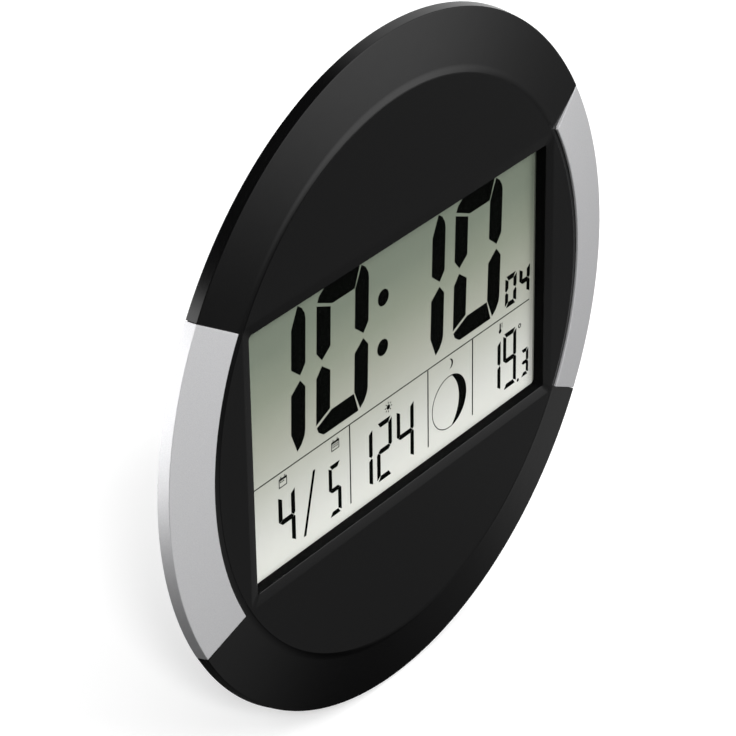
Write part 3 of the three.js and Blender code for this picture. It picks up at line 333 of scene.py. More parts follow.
def clear_sheet(name, haze):
    """Polished clear sheet: nearly unseen, with a trace of haze."""
    p = paint(name)
    dust = p.noise(2.5, 4)
    return p.surface(Base_Color=(0.02, 0.022, 0.02, 1), Roughness=0.06 + 0.05 * dust,
                     Alpha=haze * (0.7 + 0.6 * dust))


def display_ground():
    """The polarised glass over its reflector: painted shade and reflection make it grey-green at the
    top and pale at the bottom, and a painted glow lights it.
    """
    p = paint("display_ground")
    _, _, up = p.place()
    share = (up / MM - WINDOW_BOTTOM) / (WINDOW_TOP - WINDOW_BOTTOM)
    # Painted shade and reflection: darker grey-green at the top, pale at the bottom
    ramp = p.out(p.node("ShaderNodeValToRGB", {"stops": [
        (0.0, (0.87, 0.88, 0.82, 1)),
        (0.14, (0.74, 0.75, 0.70, 1)),
        (0.33, (0.54, 0.555, 0.49, 1)),
        (0.485, (0.42, 0.435, 0.365, 1)),
        (0.66, (0.29, 0.32, 0.25, 1)),
        (0.83, (0.213, 0.246, 0.191, 1)),
        (1.0, (0.195, 0.228, 0.176, 1)),
    ]}, {"Fac": share}))
    grain = p.noise(0.3, 3)
    tint = p.blend(0.06 * grain, ramp, grey(0.1))
    # Painted light: the emission makes the ground glow, though it is no lamp, and fades the shade of
    # the recess
    return p.surface(Base_Color=p.blend(0.26, tint, grey(0)), Emission_Color=ramp,
                     Emission_Strength=0.4, Roughness=0.45 + 0.15 * grain,
                     Specular_IOR_Level=0.15, Normal=p.bump(grain, 0.01))


def display_ink():
    """Liquid crystal that is switched on: near black with a cool tint."""
    p = paint("display_ink")
    cloud = p.noise(6, 2)
    tint = p.blend(cloud, (0.0002, 0.0004, 0.0002, 1), (0.0006, 0.0010, 0.0005, 1))
    return p.surface(Base_Color=tint, Roughness=0.5 + 0.1 * cloud, Specular_IOR_Level=0.0)


def brushed_foil():
    """Reflector behind the glasses: bright foil brushed sideways."""
    p = paint("reflector_foil")
    lines = p.noise(0.4, 3, (0.05, 1, 1))
    return p.surface(Base_Color=p.blend(lines, (0.5, 0.52, 0.48, 1), (0.66, 0.68, 0.64, 1)),
                     Metallic=0.8, Roughness=0.3 + 0.15 * lines, Normal=p.bump(lines, 0.01))


def dull_white():
    """Display tray: white plastic with a soft grain."""
    p = paint("white_plastic")
    grain, cloud = p.noise(0.5, 3), p.noise(18, 2)
    return p.surface(Base_Color=p.blend(cloud, (0.66, 0.66, 0.62, 1), (0.74, 0.74, 0.71, 1)),
                     Roughness=0.42 + 0.16 * grain, Normal=p.bump(grain, 0.03))


def strip_rubber():
    """Contact strip and switch plungers: silicone with fine conductive layers across it."""
    p = paint("strip_rubber")
    across, _, _ = p.place()
    layers = p.smooth(p.maths("PINGPONG", across / MM, 0.25), 0.08, 0.17)
    grain = p.noise(0.6, 3)
    return p.surface(Base_Color=p.blend(layers, (0.05, 0.052, 0.055, 1), (0.2, 0.21, 0.22, 1)),
                     Roughness=0.55 + 0.2 * grain, Normal=p.bump(grain, 0.02))


def board_green():
    """Coated board: copper runs show through the green as paler lines."""
    p = paint("board_green")
    across, _, up = p.place()
    row = p.maths("PINGPONG", up / MM + 3 * p.noise(60, 0), 1.6)
    column = p.maths("PINGPONG", across / MM + 3 * p.noise(45, 0), 2.3)
    runs = p.maths("MAXIMUM", row < 0.42, column < 0.36) * (p.noise(16, 1) > 0.5)
    weave = p.noise(0.4, 2)
    tint = p.blend(runs, (0.010, 0.085, 0.034, 1), (0.028, 0.19, 0.075, 1))
    return p.surface(Base_Color=tint, Roughness=0.3 + 0.2 * weave,
                     Normal=p.bump(runs + 0.2 * weave, 0.035))


def epoxy_black():
    """Potted and moulded parts on the board: black epoxy with pits."""
    p = paint("epoxy_black")
    swell, pits = p.noise(3, 2), p.noise(0.4, 3)
    return p.surface(Base_Color=p.blend(pits, (0.005, 0.005, 0.006, 1), (0.013, 0.013, 0.014, 1)),
                     Roughness=0.25 + 0.2 * pits, Normal=p.bump(swell + 0.15 * pits, 0.06))


def plated_metal(name, dark, light, roughness):
    """Plated steel: fine drawing lines and slight clouding of the plating."""
    p = paint(name)
    lines, cloud = p.noise(0.25, 3, (1, 0.15, 1)), p.noise(2.5, 3)
    tint = p.blend(cloud, dark, light)
    return p.surface(Base_Color=tint, Metallic=1.0, Roughness=roughness + 0.18 * lines,
                     Normal=p.bump(lines, 0.006))


def cell_sleeve():
    """Shrunk sleeve on a cell: blue-grey body with a dark band by the nub, steel at both ends."""
    p = paint("cell_sleeve")
    across, _, up = p.place()
    film = p.noise(1.5, 3)
    inside = abs(across / MM + 0.2) < CELL_SLEEVE_HALF
    band = (across * p.maths("SIGN", up / MM - CELL_ROWS_MIDDLE_Z)) / MM > CELL_BAND_START
    sleeve = p.blend(band, (0.05, 0.085, 0.13, 1), (0.012, 0.014, 0.017, 1))
    tint = p.blend(inside, (0.55, 0.55, 0.54, 1), sleeve)
    return p.surface(Base_Color=tint, Metallic=1 - inside, Roughness=0.26 + 0.12 * film,
                     Normal=p.bump(film, 0.015))


def soft_sleeve(name, colour):
    """Insulation of a supply wire."""
    p = paint(name)
    grain = p.noise(0.8, 3)
    darker = (*(0.7 * part for part in colour[:3]), 1)
    return p.surface(Base_Color=p.blend(grain, darker, colour),
                     Roughness=0.42 + 0.15 * grain, Normal=p.bump(grain, 0.02))


def key_plastic():
    """Push keys: satin black, polished on the crown where fingers press."""
    p = paint("key_plastic")
    _, depth, _ = p.place()
    crown = p.smooth(depth / MM, -1.6, -0.5)
    grain = p.noise(0.4, 3)
    tint = p.blend(crown, (0.012, 0.012, 0.013, 1), (0.022, 0.022, 0.024, 1))
    return p.surface(Base_Color=tint, Roughness=0.5 - 0.14 * crown + 0.12 * grain,
                     Normal=p.bump(grain, 0.02))


finishes = {
    "black_housing": black_gloss(),
    "rear_plastic": black_texture(),
    "silver_trim": silver_paint(),
    "clear_sheet": clear_sheet("lens_sheet", 0.03),
    "display_glass": clear_sheet("display_glass", 0.02),
    "display_ground": display_ground(),
    "display_ink": display_ink(),
    "reflector_foil": brushed_foil(),
    "white_plastic": dull_white(),
    "strip_rubber": strip_rubber(),
    "board_green": board_green(),
    "epoxy_black": epoxy_black(),
    "bright_metal": plated_metal("zinc_plate", (0.5, 0.5, 0.49, 1), (0.62, 0.62, 0.61, 1), 0.28),
    "contact_metal": plated_metal(
        "nickel_plate", (0.55, 0.54, 0.51, 1), (0.68, 0.67, 0.64, 1), 0.16),
    "cell_sleeve": cell_sleeve(),
    "wire_red": soft_sleeve("wire_red", (0.36, 0.02, 0.015, 1)),
    "wire_black": soft_sleeve("wire_black", (0.012, 0.012, 0.012, 1)),
    "button_plastic": key_plastic(),
}

slots = {part["node"]: part["material_slot"] for part in frame["record"]["subparts"]}


def dress(piece, finish):
    piece.data.materials.clear()
    piece.data.materials.append(finishes[finish])


for name, node in nodes.items():
    finish = "display_ground" if name == "lcd_rear_glass" else slots[name]
    for slot in node.material_slots:
        slot.material = finishes[finish]


# Modelling by hand

def alone(piece):
    """Selects this piece and nothing else."""
    bpy.ops.object.select_all(action="DESELECT")
    piece.select_set(True)
    bpy.context.view_layer.objects.active = piece


def started(name):
    """Names the primitive just added and puts its place into its mesh."""
    piece = bpy.context.object
    piece.name = piece.data.name = name
    alone(piece)
    bpy.ops.object.transform_apply(location=True, rotation=True, scale=True)
    return piece


@contextmanager
def shaping(piece, mode="EDGE"):
    """Edit mode on one piece, with the whole of it selected to begin with."""
    alone(piece)
    bpy.ops.object.mode_set(mode="EDIT")
    bpy.ops.mesh.select_mode(type=mode)
    bpy.ops.mesh.select_all(action="SELECT")
    yield
    bpy.ops.object.mode_set(mode="OBJECT")


@contextmanager
def shaping_picked(piece, kind, wanted):
    """Edit mode with the faces or edges selected whose middle and direction are wanted."""
    mesh = piece.data
    for group in (mesh.vertices, mesh.edges, mesh.polygons):
        group.foreach_set("select", [False] * len(group))
    if kind == "FACE":
        for face in mesh.polygons:
            face.select = wanted(face.center / MM, face.normal)
    else:
        for edge in mesh.edges:
            start, end = (mesh.vertices[i].co for i in edge.vertices)
            edge.select = wanted((start + end) / 2 / MM, (end - start).normalized())
    alone(piece)
    bpy.context.tool_settings.mesh_select_mode = (False, kind == "EDGE", kind == "FACE")
    bpy.ops.object.mode_set(mode="EDIT")
    yield
    bpy.ops.object.mode_set(mode="OBJECT")


def turned(name, profile, steps, centre=(0, 0), closed=True):
    """Turns (radius, depth) points about a line along y.

    A closed path gives a ring, and an open one a solid whose two ends are filled.
    """
    x, z = centre[0] * MM, centre[1] * MM
    radius, depth = profile[0]
    bpy.ops.mesh.primitive_circle_add(
        vertices=steps, radius=radius * MM, location=(x, depth * MM, z),
        rotation=(math.pi / 2, 0, 0))
    piece = started(name)
    path = list(profile) + ([profile[0]] if closed else [])
    with shaping(piece):
        for (radius, depth), (next_radius, next_depth) in zip(path, path[1:]):
            bpy.ops.mesh.extrude_edges_move(
                TRANSFORM_OT_translate={"value": (0, (next_depth - depth) * MM, 0)})
            share = next_radius / radius
            bpy.ops.transform.resize(
                value=(share, 1, share), center_override=(x, next_depth * MM, z))
        bpy.ops.mesh.select_all(action="SELECT")
        bpy.ops.mesh.remove_doubles(threshold=1e-6)
        bpy.ops.mesh.fill_holes(sides=0)
        bpy.ops.mesh.select_all(action="SELECT")
        bpy.ops.mesh.normals_make_consistent(inside=False)
    return piece


def block(name, xs, ys, zs, corner=0.0, segments=5):
    """A block between pairs of limits, its four edges along y rounded by corner."""
    spans = (xs, ys, zs)
    bpy.ops.mesh.primitive_cube_add(
        size=1, location=[(low + high) / 2 * MM for low, high in spans],
        scale=[(high - low) * MM for low, high in spans])
    piece = started(name)
    if corner:
        with shaping_picked(piece, "EDGE", lambda middle, way: abs(way.y) > 0.9):
            bpy.ops.mesh.bevel(offset=corner * MM, segments=segments)
    return piece


def apply(piece, modifier):
    alone(piece)
    bpy.ops.object.modifier_apply(modifier=modifier.name)


def carve(piece, *tools, operation="DIFFERENCE"):
    for tool in tools:
        modifier = piece.modifiers.new("carve", "BOOLEAN")
        modifier.operation, modifier.solver, modifier.object = operation, "EXACT", tool
        apply(piece, modifier)
        bpy.data.objects.remove(tool, do_unlink=True)


def add_to(piece, *others):
    """Makes the others part of the piece."""
    alone(piece)
    for other in others:
        other.select_set(True)
    bpy.ops.object.join()
    return piece


def soften(piece, width, angle):
    """Rounds every edge sharper than angle."""
    modifier = piece.modifiers.new("soften", "BEVEL")
    modifier.width, modifier.segments, modifier.limit_method = width * MM, 2, "ANGLE"
    modifier.angle_limit = math.radians(angle)
    apply(piece, modifier)


def stand_for(piece, node, body, angle=30):
    """Shows the piece in place of a solid, with smooth faces where it turns less than angle."""
    dress(piece, slots[node])
    alone(piece)
    bpy.ops.object.shade_smooth_by_angle(angle=math.radians(angle))
    modifier = piece.modifiers.new("flat_faces", "WEIGHTED_NORMAL")
    modifier.keep_sharp, modifier.weight = True, 50
    apply(piece, modifier)
    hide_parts(node)
    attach(piece, body)


# Front housing and side trims

def ring_depth(radius):
    """The depth of the black ring's front, which slopes back towards the rim."""
    outer = RIM_RADIUS - RIM_DRAFT
    rise = Y_RING_INNER - Y_RIM_FRONT
    return Y_RIM_FRONT + rise * (outer - radius) / (outer - RING_INNER_RADIUS)


def trim_depth(radius):
    """The depth of a trim's front, which stands over the ring."""
    outer = RIM_RADIUS - RIM_DRAFT - TRIM_FOOT_INSET
    share = (outer - radius) / (outer - TRIM_INNER_RADIUS)
    return ring_depth(outer) + (Y_RIM_FRONT - TRIM_RISE - ring_depth(outer)) * share


def step_points(count):
    """The soft slope between the disc and the ring, from its edge on the disc outwards."""
    start, end = (DISC_RADIUS, Y_DISC + DISC_EDGE_ROUND), (RING_INNER_RADIUS, Y_RING_INNER)
    middle = ((start[0] + end[0]) / 2, ring_depth((start[0] + end[0]) / 2))

    def between(t):
        return tuple(a * (1 - t) ** 2 + 2 * b * t * (1 - t) + c * t ** 2
                     for a, b, c in zip(start, middle, end))

    return [between(i / count) for i in range(count + 1)]


def sector_planes(side, inset):
    """The two planes that bound a side trim: a point on each and its outward normal."""
    half, raised = math.radians(TRIM_HALF_ANGLE), math.radians(TRIM_RAISE_ANGLE)
    tip_distance = inset / math.sin(half)
    tip = Vector((side * tip_distance * math.cos(raised), 0, tip_distance * math.sin(raised))) * MM
    upper, lower = raised + half, raised - half
    return [(tip, Vector((-side * math.sin(upper), 0, math.cos(upper)))),
            (tip, Vector((side * math.sin(lower), 0, -math.cos(lower))))]


def ring_sector(name, profile, side, inset):
    """A ring of this profile, cut down to the trim's sector less inset at both ends."""
    piece = turned(name, profile, FACE_STEPS)
    for point, outward in sector_planes(side, inset):
        with shaping(piece, "VERT"):
            bpy.ops.mesh.bisect(plane_co=point, plane_no=outward, use_fill=True, clear_outer=True)
    with shaping(piece):
        bpy.ops.mesh.normals_make_consistent(inside=False)
    return piece


def stake_places(side):
    """The x and z of each stake of a trim, and the depth at which its melted head ends."""
    radius = (TRIM_INNER_RADIUS + RIM_RADIUS - TRIM_BAND_WALL) / 2
    y_end = ring_depth(radius) + RING_WALL
    for degrees in STAKE_ANGLES:
        angle = math.radians(TRIM_RAISE_ANGLE + degrees)
        yield side * radius * math.cos(angle), radius * math.sin(angle), y_end


def trim_pocket(side):
    """The room for a trim and its gap, to be cut out of the ring."""
    band = RIM_RADIUS - TRIM_BAND_WALL - TRIM_GAP
    front, inner = band - RIM_DRAFT, TRIM_INNER_RADIUS - TRIM_GAP
    under = TRIM_WALL + TRIM_GAP
    return ring_sector("pocket", [
        (inner, Y_DISC - 3), (inner, trim_depth(inner) + under), (front, trim_depth(front) + under),
        (band, Y_RIM_BACK), (band, Y_RIM_BACK + 1), (RIM_RADIUS + 1, Y_RIM_BACK + 1),
        (RIM_RADIUS + 1, Y_DISC - 3)], side, 0)


def window_cutter():
    """A block through the face that flares into the bevel around the window, crisply rounded."""
    y_wall = Y_DISC + WINDOW_BEVEL_DEPTH
    y_start = y_wall + 0.25
    cutter = block("window_cutter", (-WINDOW_HALF_WIDTH, WINDOW_HALF_WIDTH),
                   (y_start, Y_WINDOW_FLOOR + 1), (WINDOW_BOTTOM, WINDOW_TOP), WINDOW_CORNER, 8)
    slope = WINDOW_BEVEL_DEPTH / WINDOW_BEVEL_WIDTH
    loops = [(0.03, y_wall + 0.12), (0.12, y_wall + 0.02), (0.32, y_wall - 0.32 * slope),
             (WINDOW_BEVEL_WIDTH - 0.3, Y_DISC + 0.3 * slope), (WINDOW_BEVEL_WIDTH, Y_DISC + 0.03),
             (WINDOW_BEVEL_WIDTH + 0.35, Y_DISC - 0.02), (WINDOW_BEVEL_WIDTH + 0.5, Y_DISC - 1)]
    grown, depth = 0, y_start
    with shaping_picked(cutter, "FACE", lambda middle, normal: normal.y < -0.9):
        for grow, y in loops:
            bpy.ops.mesh.extrude_region_move(
                TRANSFORM_OT_translate={"value": (0, (y - depth) * MM, 0)})
            wide = (WINDOW_HALF_WIDTH + grow) / (WINDOW_HALF_WIDTH + grown)
            tall = (WINDOW_HALF_HEIGHT + grow) / (WINDOW_HALF_HEIGHT + grown)
            bpy.ops.transform.resize(
                value=(wide, 1, tall), center_override=(0, y * MM, WINDOW_CENTRE_Z * MM))
            grown, depth = grow, y
    return cutter


def face_profile():
    """The front housing's section, as (radius, depth) from the disc's edge round to its inside."""
    size = DISC_EDGE_ROUND
    rounding = [(DISC_RADIUS - size + size * math.sin(a), Y_DISC + size - size * math.cos(a))
                for a in (math.pi / 2 * i / 4 for i in range(4))]
    edge = RIM_RADIUS - RIM_DRAFT
    inside = RIM_RADIUS - RIM_WALL
    foot = RING_INNER_RADIUS + RING_WALL / 2
    return rounding + step_points(STEP_PARTS) + [
        (edge - 0.45, ring_depth(edge - 0.45)), (edge - 0.15, Y_RIM_FRONT + 0.03),
        (edge - 0.02, Y_RIM_FRONT + 0.16), (edge + 0.06, Y_RIM_FRONT + 0.45),
        (RIM_RADIUS - 0.02, Y_RIM_BACK - 0.3), (RIM_RADIUS - 0.1, Y_RIM_BACK - 0.08),
        (RIM_RADIUS - 0.3, Y_RIM_BACK), (inside, Y_RIM_BACK),
        (inside, ring_depth(inside) + RING_WALL), (foot, ring_depth(foot) + RING_WALL),
        (DISC_RADIUS - 2.4, Y_DISC_INSIDE)]


def housing_screw_places():
    for degrees in SCREW_ANGLES:
        angle = math.radians(degrees)
        yield SCREW_CIRCLE_RADIUS * math.cos(angle), SCREW_CIRCLE_RADIUS * math.sin(angle)


def screw_post(x, z):
    """A post for a housing screw, with the screw's pilot hole and four fins at its foot."""
    y_root, y_top = Y_DISC_INSIDE - FACE_BITE, Y_WELL_SEAT - WELL_FLOOR
    y_fin, y_hole = Y_DISC_INSIDE + POST_FIN_HEIGHT, y_top - POST_HOLE_DEPTH
    post = turned("post", [
        (POST_RADIUS, y_root), (POST_RADIUS, y_top - 0.3), (POST_RADIUS - 0.3, y_top),
        (POST_HOLE_RADIUS, y_top), (POST_HOLE_RADIUS, y_hole), (0.3, y_hole - 0.4)],
        32, (x, z), closed=False)
    fins = [block("fin", (x - a, x + a), (y_root, y_fin), (z - b, z + b))
            for a, b in ((POST_FIN_REACH, POST_FIN_HALF), (POST_FIN_HALF, POST_FIN_REACH))]
    return add_to(post, *fins)


def front_housing():
    piece = turned("front_housing_moulding", face_profile(), FACE_STEPS, closed=False)
    wall = WINDOW_SKIRT_WALL
    skirt = block("skirt", (-WINDOW_HALF_WIDTH - wall, WINDOW_HALF_WIDTH + wall),
                  (Y_DISC_INSIDE - FACE_BITE, Y_WINDOW_FLOOR),
                  (WINDOW_BOTTOM - wall, WINDOW_TOP + wall), WINDOW_CORNER + wall)
    carve(piece, skirt, operation="UNION")
    carve(piece, window_cutter(), trim_pocket(-1), trim_pocket(1))
    narrow, wide = STAKE_RADIUS + TRIM_GAP, STAKE_HEAD_RADIUS + TRIM_GAP
    for side in (-1, 1):
        for x, z, y_end in stake_places(side):
            y_seat = y_end - STAKE_HEAD_ROOM
            carve(piece, turned("hole", [
                (narrow, Y_DISC), (narrow, y_seat), (wide, y_seat), (wide, Y_RIM_BACK)],
                STAKE_STEPS, (x, z), closed=False))
    add_to(piece, *[screw_post(*place) for place in housing_screw_places()])
    stand_for(piece, "front_housing", "housing", FACE_SMOOTH_ANGLE)


def side_trim(side, name):
    """A silver shell over one side of the ring, held by stakes through the ring's wall."""
    inner, lip = TRIM_INNER_RADIUS, TRIM_INNER_RADIUS + TRIM_LIP_WALL
    edge, band = RIM_RADIUS - RIM_DRAFT, RIM_RADIUS - TRIM_BAND_WALL
    front = band - RIM_DRAFT
    shell = ring_sector(name + "_shell", [
        (inner, trim_depth(inner)), (edge - 0.2, trim_depth(edge - 0.2)),
        (RIM_RADIUS, Y_RIM_BACK), (band, Y_RIM_BACK), (front, trim_depth(front) + TRIM_WALL),
        (lip + 0.2, trim_depth(lip) + TRIM_WALL), (lip, ring_depth(lip) - 0.05),
        (inner, ring_depth(inner) - 0.05)], side, TRIM_GAP)
    planes = sector_planes(side, TRIM_GAP)

    def on_front(middle):
        return middle.y < trim_depth(math.hypot(middle.x, middle.z)) + 0.02

    def at_inner_edge(middle, way):
        return on_front(middle) and math.hypot(middle.x, middle.z) < inner + 0.05

    def at_outer_edge(middle, way):
        at_end = any(abs((middle * MM - point).dot(outward)) < 1e-6 for point, outward in planes)
        outside = math.hypot(middle.x, middle.z) > edge - 0.4
        return on_front(middle) and (at_end or outside)

    for size, wanted in ((TRIM_INNER_ROUND, at_inner_edge), (TRIM_OUTER_ROUND, at_outer_edge)):
        with shaping_picked(shell, "EDGE", wanted):
            bpy.ops.mesh.bevel(offset=size * MM, segments=4)
    soften(shell, TRIM_EDGE_ROUND, 40)
    for x, z, y_end in stake_places(side):
        y_root = trim_depth(math.hypot(x, z)) + TRIM_WALL / 2
        y_head = y_end - STAKE_HEAD_HEIGHT
        add_to(shell, turned("stake", [
            (STAKE_RADIUS, y_root), (STAKE_RADIUS, y_head), (STAKE_HEAD_RADIUS, y_head),
            (STAKE_HEAD_RADIUS, y_end - 0.3), (STAKE_HEAD_RADIUS - 0.9, y_end)],
            STAKE_STEPS, (x, z), closed=False))
    stand_for(shell, name, "housing")


front_housing()
side_trim(-1, "side_trim_left")
side_trim(1, "side_trim_right")


# Display: what is switched on lies between the two glasses

DIGIT_LEAN = 0.04
DIGIT_MIDDLE_Z = 20.8
TIME_TOP, TIME_BOTTOM, TIME_STROKE = 53.7, -12.0, 9.15
TIME_DIGITS = (("1", -91.6, -57.75), ("0", -50.5, -15.9), ("1", 3.3, 37.2), ("0", 44.4, 78.7))
SECONDS_TOP, SECONDS_BOTTOM, SECONDS_STROKE, SECONDS_LEAN = 2.7, -12.4, 2.4, 0.02
SECOND_DIGITS = (("0", 82.2, 90.8), ("4", 93.0, 101.0))
COLON_DOT_RADIUS = 3.7
DIVIDER_XS = (-29.6, 25.15, 57.85)
DIVIDER_HALF = 0.35
DAY_TOP, DAY_BOTTOM, DAY_STROKE = -24.8, -52.8, 2.4
DAY_DIGITS = (("1", -22.0, -14.2), ("2", -11.2, -0.7), ("4", 2.8, 14.8))
LABEL_Z = -20.2
LABEL_SCALE = 1.35
MOON = (40.6, -38.45)
MOON_RADIUS = 12.6
DEGREE = (93.6, -25.6)

# The lit segments of each digit in use, a at the top, then clockwise, with g in the middle
SEGMENTS_ON = {"0": "abcdef", "1": "bc", "2": "abged", "3": "abgcd", "4": "fgbc", "5": "afgcd",
               "9": "abcdfg"}


def flat_piece(name, outlines):
    """A thin plate from closed outlines of (x, z) points; an outline inside another is a hole."""
    curve = bpy.data.curves.new(name, "CURVE")
    curve.dimensions, curve.fill_mode = "2D", "BOTH"
    curve.extrude = (Y_INK[1] - Y_INK[0]) / 2 * MM
    for outline in outlines:
        spline = curve.splines.new("POLY")
        spline.points.add(len(outline) - 1)
        for point, (x, z) in zip(spline.points, outline):
            point.co = (x * MM, z * MM, 0, 1)
        spline.use_cyclic_u = True
    flat = bpy.data.objects.new(name, curve)
    bpy.context.scene.collection.objects.link(flat)
    alone(flat)
    bpy.ops.object.convert(target="MESH")
    piece = bpy.context.object
    piece.rotation_euler = (math.pi / 2, 0, 0)
    piece.location = (0, (Y_INK[0] + Y_INK[1]) / 2 * MM, 0)
    piece = started(name)
    with shaping(piece):
        bpy.ops.mesh.remove_doubles(threshold=1e-7)
        bpy.ops.mesh.normals_make_consistent(inside=False)
    dress(piece, "display_ink")
    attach(piece, "housing")


def segment_outlines(text, left, right, top, bottom, stroke, lean=0.0):
    """The outlines of one seven-segment digit between its edges."""
    middle, gap, half = (top + bottom) / 2, 0.055 * stroke, stroke / 2
    clip = 0.35 * stroke

    def across(z_out, z_in):
        outer_inset, inner_inset = gap + 0.3 * stroke, stroke + gap
        return [(left + outer_inset, z_out), (right - outer_inset, z_out),
                (right - inner_inset, z_in), (left + inner_inset, z_in)]

    def upright(x_out, x_in, z_far, sign):
        return [(x_out, z_far - sign * (gap + clip)), (x_in, z_far - sign * (stroke + gap)),
                (x_in, middle + sign * (half + gap)),
                ((x_in + 2 * x_out) / 3, middle + sign * gap),
                (x_out, middle + sign * (clip + gap))]

    shapes = {
        "a": across(top, top - stroke),
        "d": across(bottom, bottom + stroke),
        "b": upright(right, right - stroke, top, 1),
        "c": upright(right, right - stroke, bottom, -1),
        "f": upright(left, left + stroke, top, 1),
        "e": upright(left, left + stroke, bottom, -1),
        "g": [(left + 0.4 * stroke, middle), (left + stroke, middle + half),
              (right - stroke, middle + half), (right - 0.4 * stroke, middle),
              (right - stroke, middle - half), (left + stroke, middle - half)],
    }
    lit = [shapes[segment] for segment in SEGMENTS_ON[text]]
    return [[(x + lean * (z - middle), z) for x, z in outline] for outline in lit]


def big_digit_outlines(text, left, right):
    """One large digit: broad segments with clipped outer corners and pointed joints."""
    top, stroke, middle = TIME_TOP, TIME_STROKE, (TIME_TOP + TIME_BOTTOM) / 2

    def mirrored(outline):
        return [(x, 2 * middle - z) for x, z in outline]

    def leaned(outline):
        return [(x + DIGIT_LEAN * (z - DIGIT_MIDDLE_Z), z) for x, z in outline]

    a = [(left + 0.4, top - 4.9), (left + 1.6, top - 2.4), (left + 4.9, top - 0.1),
         (left + 6.5, top), (right - 6.2, top), (right - 9.5, top - stroke),
         (left + 10.2, top - stroke)]
    b = [(right - 5.1, top - 0.6), (right - 2.4, top - 2.6), (right - 0.5, top - 5.6),
         (right, top - 8), (right, middle + 5.2), (right - 3.4, middle + 1.15),
         (right - stroke, middle + 5.7), (right - stroke, top - 9.7)]
    f = [(left, top - 6.3), (left + stroke, top - 10.1), (left + stroke, middle + 5.4),
         (left + 3.6, middle + 1.3), (left, middle + 5.6)]
    shapes = {"a": a, "b": b, "f": f, "c": mirrored(b), "d": mirrored(a), "e": mirrored(f)}
    return [leaned(shapes[segment]) for segment in SEGMENTS_ON[text]]


def arc(x, z, radius, angles):
    return [(x + radius * math.cos(angle), z + radius * math.sin(angle)) for angle in angles]


def round_outline(x, z, radius, count=40):
    return arc(x, z, radius, [2 * math.pi * i / count for i in range(count)])


def bar(x0, x1, z0, z1):
    return [(x0, z0), (x1, z0), (x1, z1), (x0, z1)]


def crescent(x, z, radius, inner_x, inner_radius):
    """The dark side of a moon: its outer arc and the arc that bounds its lit side."""
    reach = ((x + inner_x) + (inner_radius ** 2 - radius ** 2) / (x - inner_x)) / 2
    start = math.acos((reach - x) / radius)
    inner_start = math.asin(radius * math.sin(start) / inner_radius)
    return arc(x, z, radius, [start * (1 - i / 20) for i in range(41)]) \
        + arc(inner_x, z, inner_radius, [-inner_start + inner_start * i / 20 for i in range(41)])


def page_outlines(days):
    """A small calendar page about (0, 0), with this many days marked on it."""
    marks = []
    for day in range(days):
        x, z = 0.75 * (day % 4), -0.7 * (day // 4)
        marks.append(bar(x - 1.35, x - 0.9, z - 0.1, z + 0.3))
    rings = [bar(way - 0.2, way + 0.2, 1.45, 1.95) for way in (-1, 1)]
    return [bar(-1.95, 1.95, -1.8, 1.35), bar(-1.65, 1.65, -1.5, 0.6), *marks, *rings]


def sun_outlines():
    """A small sun about (0, 0) with eight rays."""
    rays = []
    for i in range(8):
        angle = math.pi / 4 * i
        along, aside = (math.cos(angle), math.sin(angle)), (-math.sin(angle), math.cos(angle))
        rays.append([(far * along[0] + wide * aside[0], far * along[1] + wide * aside[1])
                     for far, wide in ((1.2, -0.16), (1.85, -0.16), (1.85, 0.16), (1.2, 0.16))])
    return [round_outline(0, 0, 0.85, 24), *rays]


def thermometer_outlines():
    """A small thermometer about (0, 0) with three marks beside its stem."""
    bulb = arc(0, -1.05, 0.75, [math.radians(-245 + 310 * i / 20) for i in range(21)])
    cap = arc(0, 1.5, 0.32, [math.pi * i / 6 for i in range(7)])
    marks = [bar(0.75, 1.35, rise, rise + 0.25) for rise in (0, 0.65, 1.3)]
    return [bulb + cap, *marks]


def label(name, x, outlines):
    """A small picture over its column, from outlines about (0, 0)."""
    flat_piece(name, [[(x + LABEL_SCALE * across, LABEL_Z + LABEL_SCALE * up)
                       for across, up in outline] for outline in outlines])


